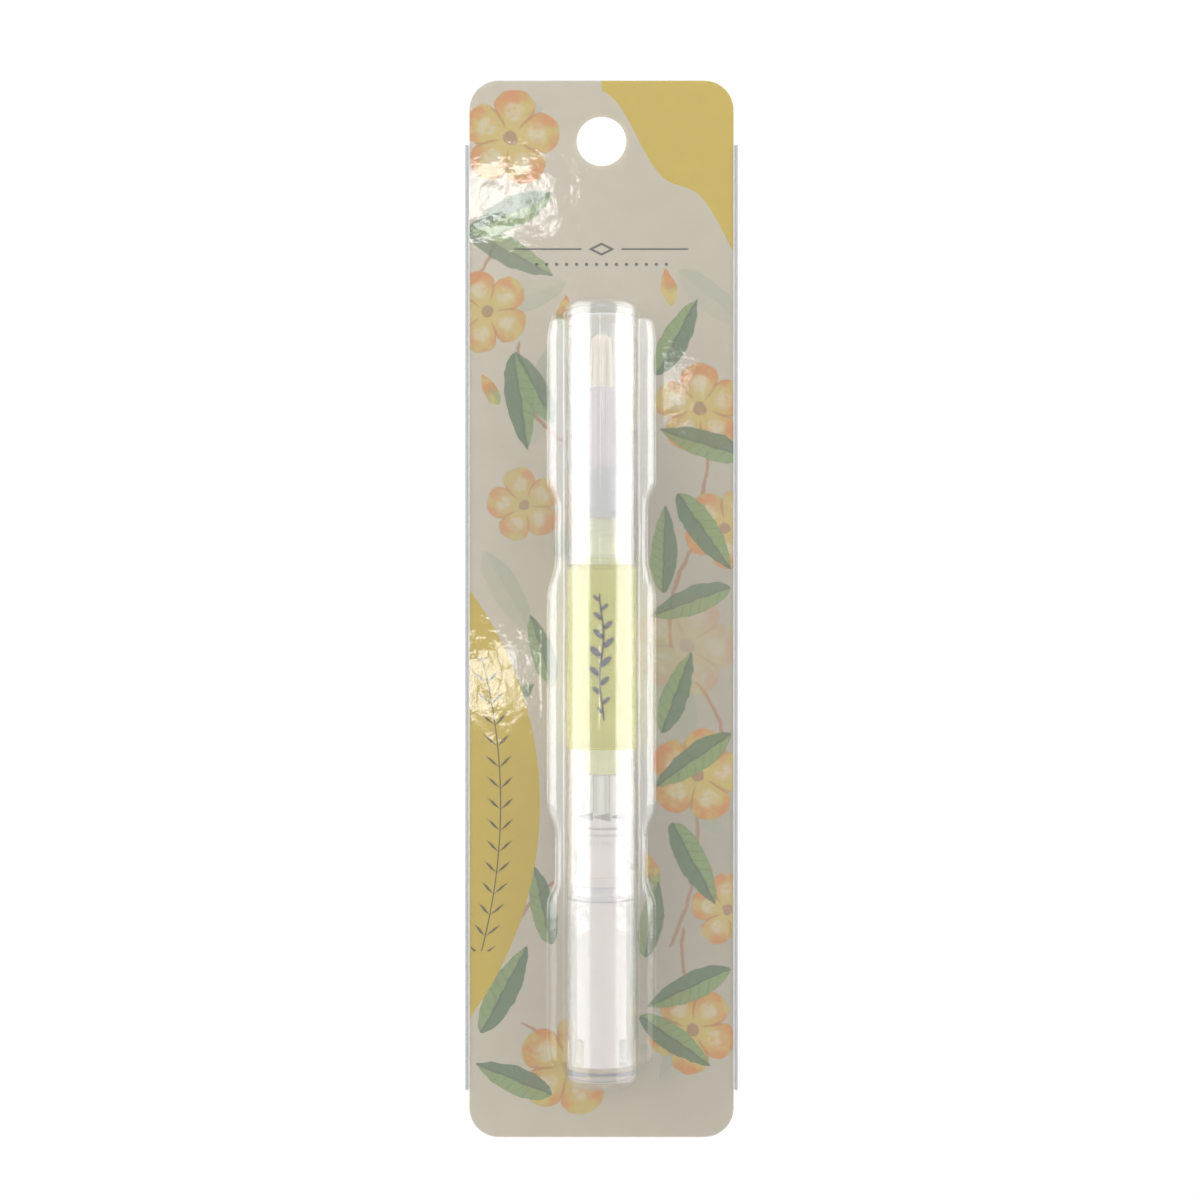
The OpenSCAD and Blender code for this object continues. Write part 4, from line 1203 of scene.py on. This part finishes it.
class OILPEN_OT_sprig(bpy.types.Operator):
    """Prints a plain leaf sprig on the barrel"""
    bl_idname = "oilpen.sprig"
    bl_label = "Printed sprig"

    def execute(self, context):
        look = context.scene.oil_pen_sprig
        ink = moulded("printed_ink", look.ink, 0.25)
        tree = self.sprig_tree(ink)
        piece = shape("barrel_sprig", tree, {
            "Leaflets": look.leaflets, "Length": look.length, "Leaflet": look.leaflet,
            "Sway": look.sway, "Stem": look.stem, "Depth": look.depth,
            "Radius": PEN_RADIUS, "Centre": (0.0, PEN_Y, PEN_FOOT + look.middle)})
        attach(piece, "pack")
        return {"FINISHED"}

    def sprig_tree(self, ink):
        """Leaflets along a swaying stem, laid out flat and then wrapped round the barrel."""
        sprig = Graph(bpy.data.node_groups.new("Printed sprig", "GeometryNodeTree"))
        size = sprig.inputs(Int=["Leaflets"], Vector=["Centre"],
                            Float=["Length", "Leaflet", "Sway", "Stem", "Depth", "Radius"])
        index = sprig.node("GeometryNodeInputIndex")
        share = (index + 0.5) / size("Leaflets") - 0.5
        bends = 9.4
        sway = (share * bends).sin() * size("Sway")
        joints = sprig.node("GeometryNodePoints",
                            {"Count": size("Leaflets"),
                             "Position": sprig.combine(sway, 0.0, share * size("Length"))})
        side = (index % 2.0) * 2.0 - 1.0
        turn = sprig.combine(0.0, side * 0.85, 0.0)
        leaf = sprig.node("GeometryNodeMeshCylinder", {"Vertices": 12, "Radius": 0.5, "Depth": 1.0})
        laid = sprig.node("GeometryNodeTransform",
                          {"Geometry": leaf, "Translation": (0, 0, 0.5),
                           "Rotation": (math.radians(90), 0, 0)})
        length = size("Leaflet") * (1.15 - abs(share) * 1.1)
        scale = sprig.combine(length * 0.42, size("Depth"), length)
        leaves = sprig.node("GeometryNodeInstanceOnPoints",
                            {"Points": joints, "Instance": laid, "Rotation": turn, "Scale": scale})
        leaves = sprig.node("GeometryNodeRealizeInstances", {"Geometry": leaves})
        stem = sprig.node("GeometryNodeMeshCube", {"Size": (1, 1, 1), "Vertices X": 2,
                                                   "Vertices Y": 2, "Vertices Z": 60})
        x, y, along = sprig.parts(sprig.node("GeometryNodeInputPosition"))
        bent = sprig.combine(x * size("Stem") + (along * bends).sin() * size("Sway"),
                             y * size("Depth"), along * size("Length") * 1.05)
        stem = sprig.node("GeometryNodeSetPosition", {"Geometry": stem, "Position": bent})
        flat = sprig.node("GeometryNodeJoinGeometry")
        for part in (leaves, stem):
            sprig.tree.links.new(part.socket, flat.socket.node.inputs[0])
        x, y, z = sprig.parts(sprig.node("GeometryNodeInputPosition"))
        angle = x / size("Radius")
        reach = size("Radius") - y
        wrapped = sprig.combine(angle.sin() * reach, angle.cos() * reach * -1.0, z)
        wrapped = sprig.vector("ADD", wrapped, size("Centre"))
        wrap = sprig.node("GeometryNodeSetPosition", {"Geometry": flat, "Position": wrapped})
        painted = sprig.node("GeometryNodeSetMaterial", {"Geometry": wrap, "Material": ink})
        return sprig.output("Geometry", "Geometry", painted)


OPERATORS = (OILPEN_OT_stage, OILPEN_OT_card, OILPEN_OT_sheet, OILPEN_OT_clear_parts,
             OILPEN_OT_inner_parts, OILPEN_OT_oil, OILPEN_OT_brush, OILPEN_OT_sprig)
LOOKS = {"oil_pen_card": CardLook, "oil_pen_sheet": SheetLook, "oil_pen_pen": PenLook,
         "oil_pen_brush": BrushLook, "oil_pen_sprig": SprigLook, "oil_pen_stage": StageLook}


class OILPEN_PT_panel(bpy.types.Panel):
    """Lists the pieces and their settings"""
    bl_idname = "OILPEN_PT_panel"
    bl_label = "Carded cuticle oil pen"
    bl_space_type = "VIEW_3D"
    bl_region_type = "UI"
    bl_category = "Oil Pen"

    def draw(self, context):
        for operator in OPERATORS:
            self.layout.operator(operator.bl_idname)
        for name, kind in LOOKS.items():
            box = self.layout.box()
            for setting in kind.__annotations__:
                box.prop(getattr(context.scene, name), setting)


def register():
    for kind in (*LOOKS.values(), *OPERATORS, OILPEN_PT_panel):
        bpy.utils.register_class(kind)
    for name, kind in LOOKS.items():
        setattr(bpy.types.Scene, name, PointerProperty(type=kind))


def unregister():
    for name in LOOKS:
        delattr(bpy.types.Scene, name)
    for kind in reversed((*LOOKS.values(), *OPERATORS, OILPEN_PT_panel)):
        bpy.utils.unregister_class(kind)


def main():
    register()
    bpy.ops.oilpen.stage()
    bpy.ops.oilpen.card()
    bpy.ops.oilpen.sheet()
    bpy.ops.oilpen.clear_parts()
    bpy.ops.oilpen.inner_parts()
    bpy.ops.oilpen.oil()
    bpy.ops.oilpen.brush()
    bpy.ops.oilpen.sprig()


if __name__ == "__main__":
    main()
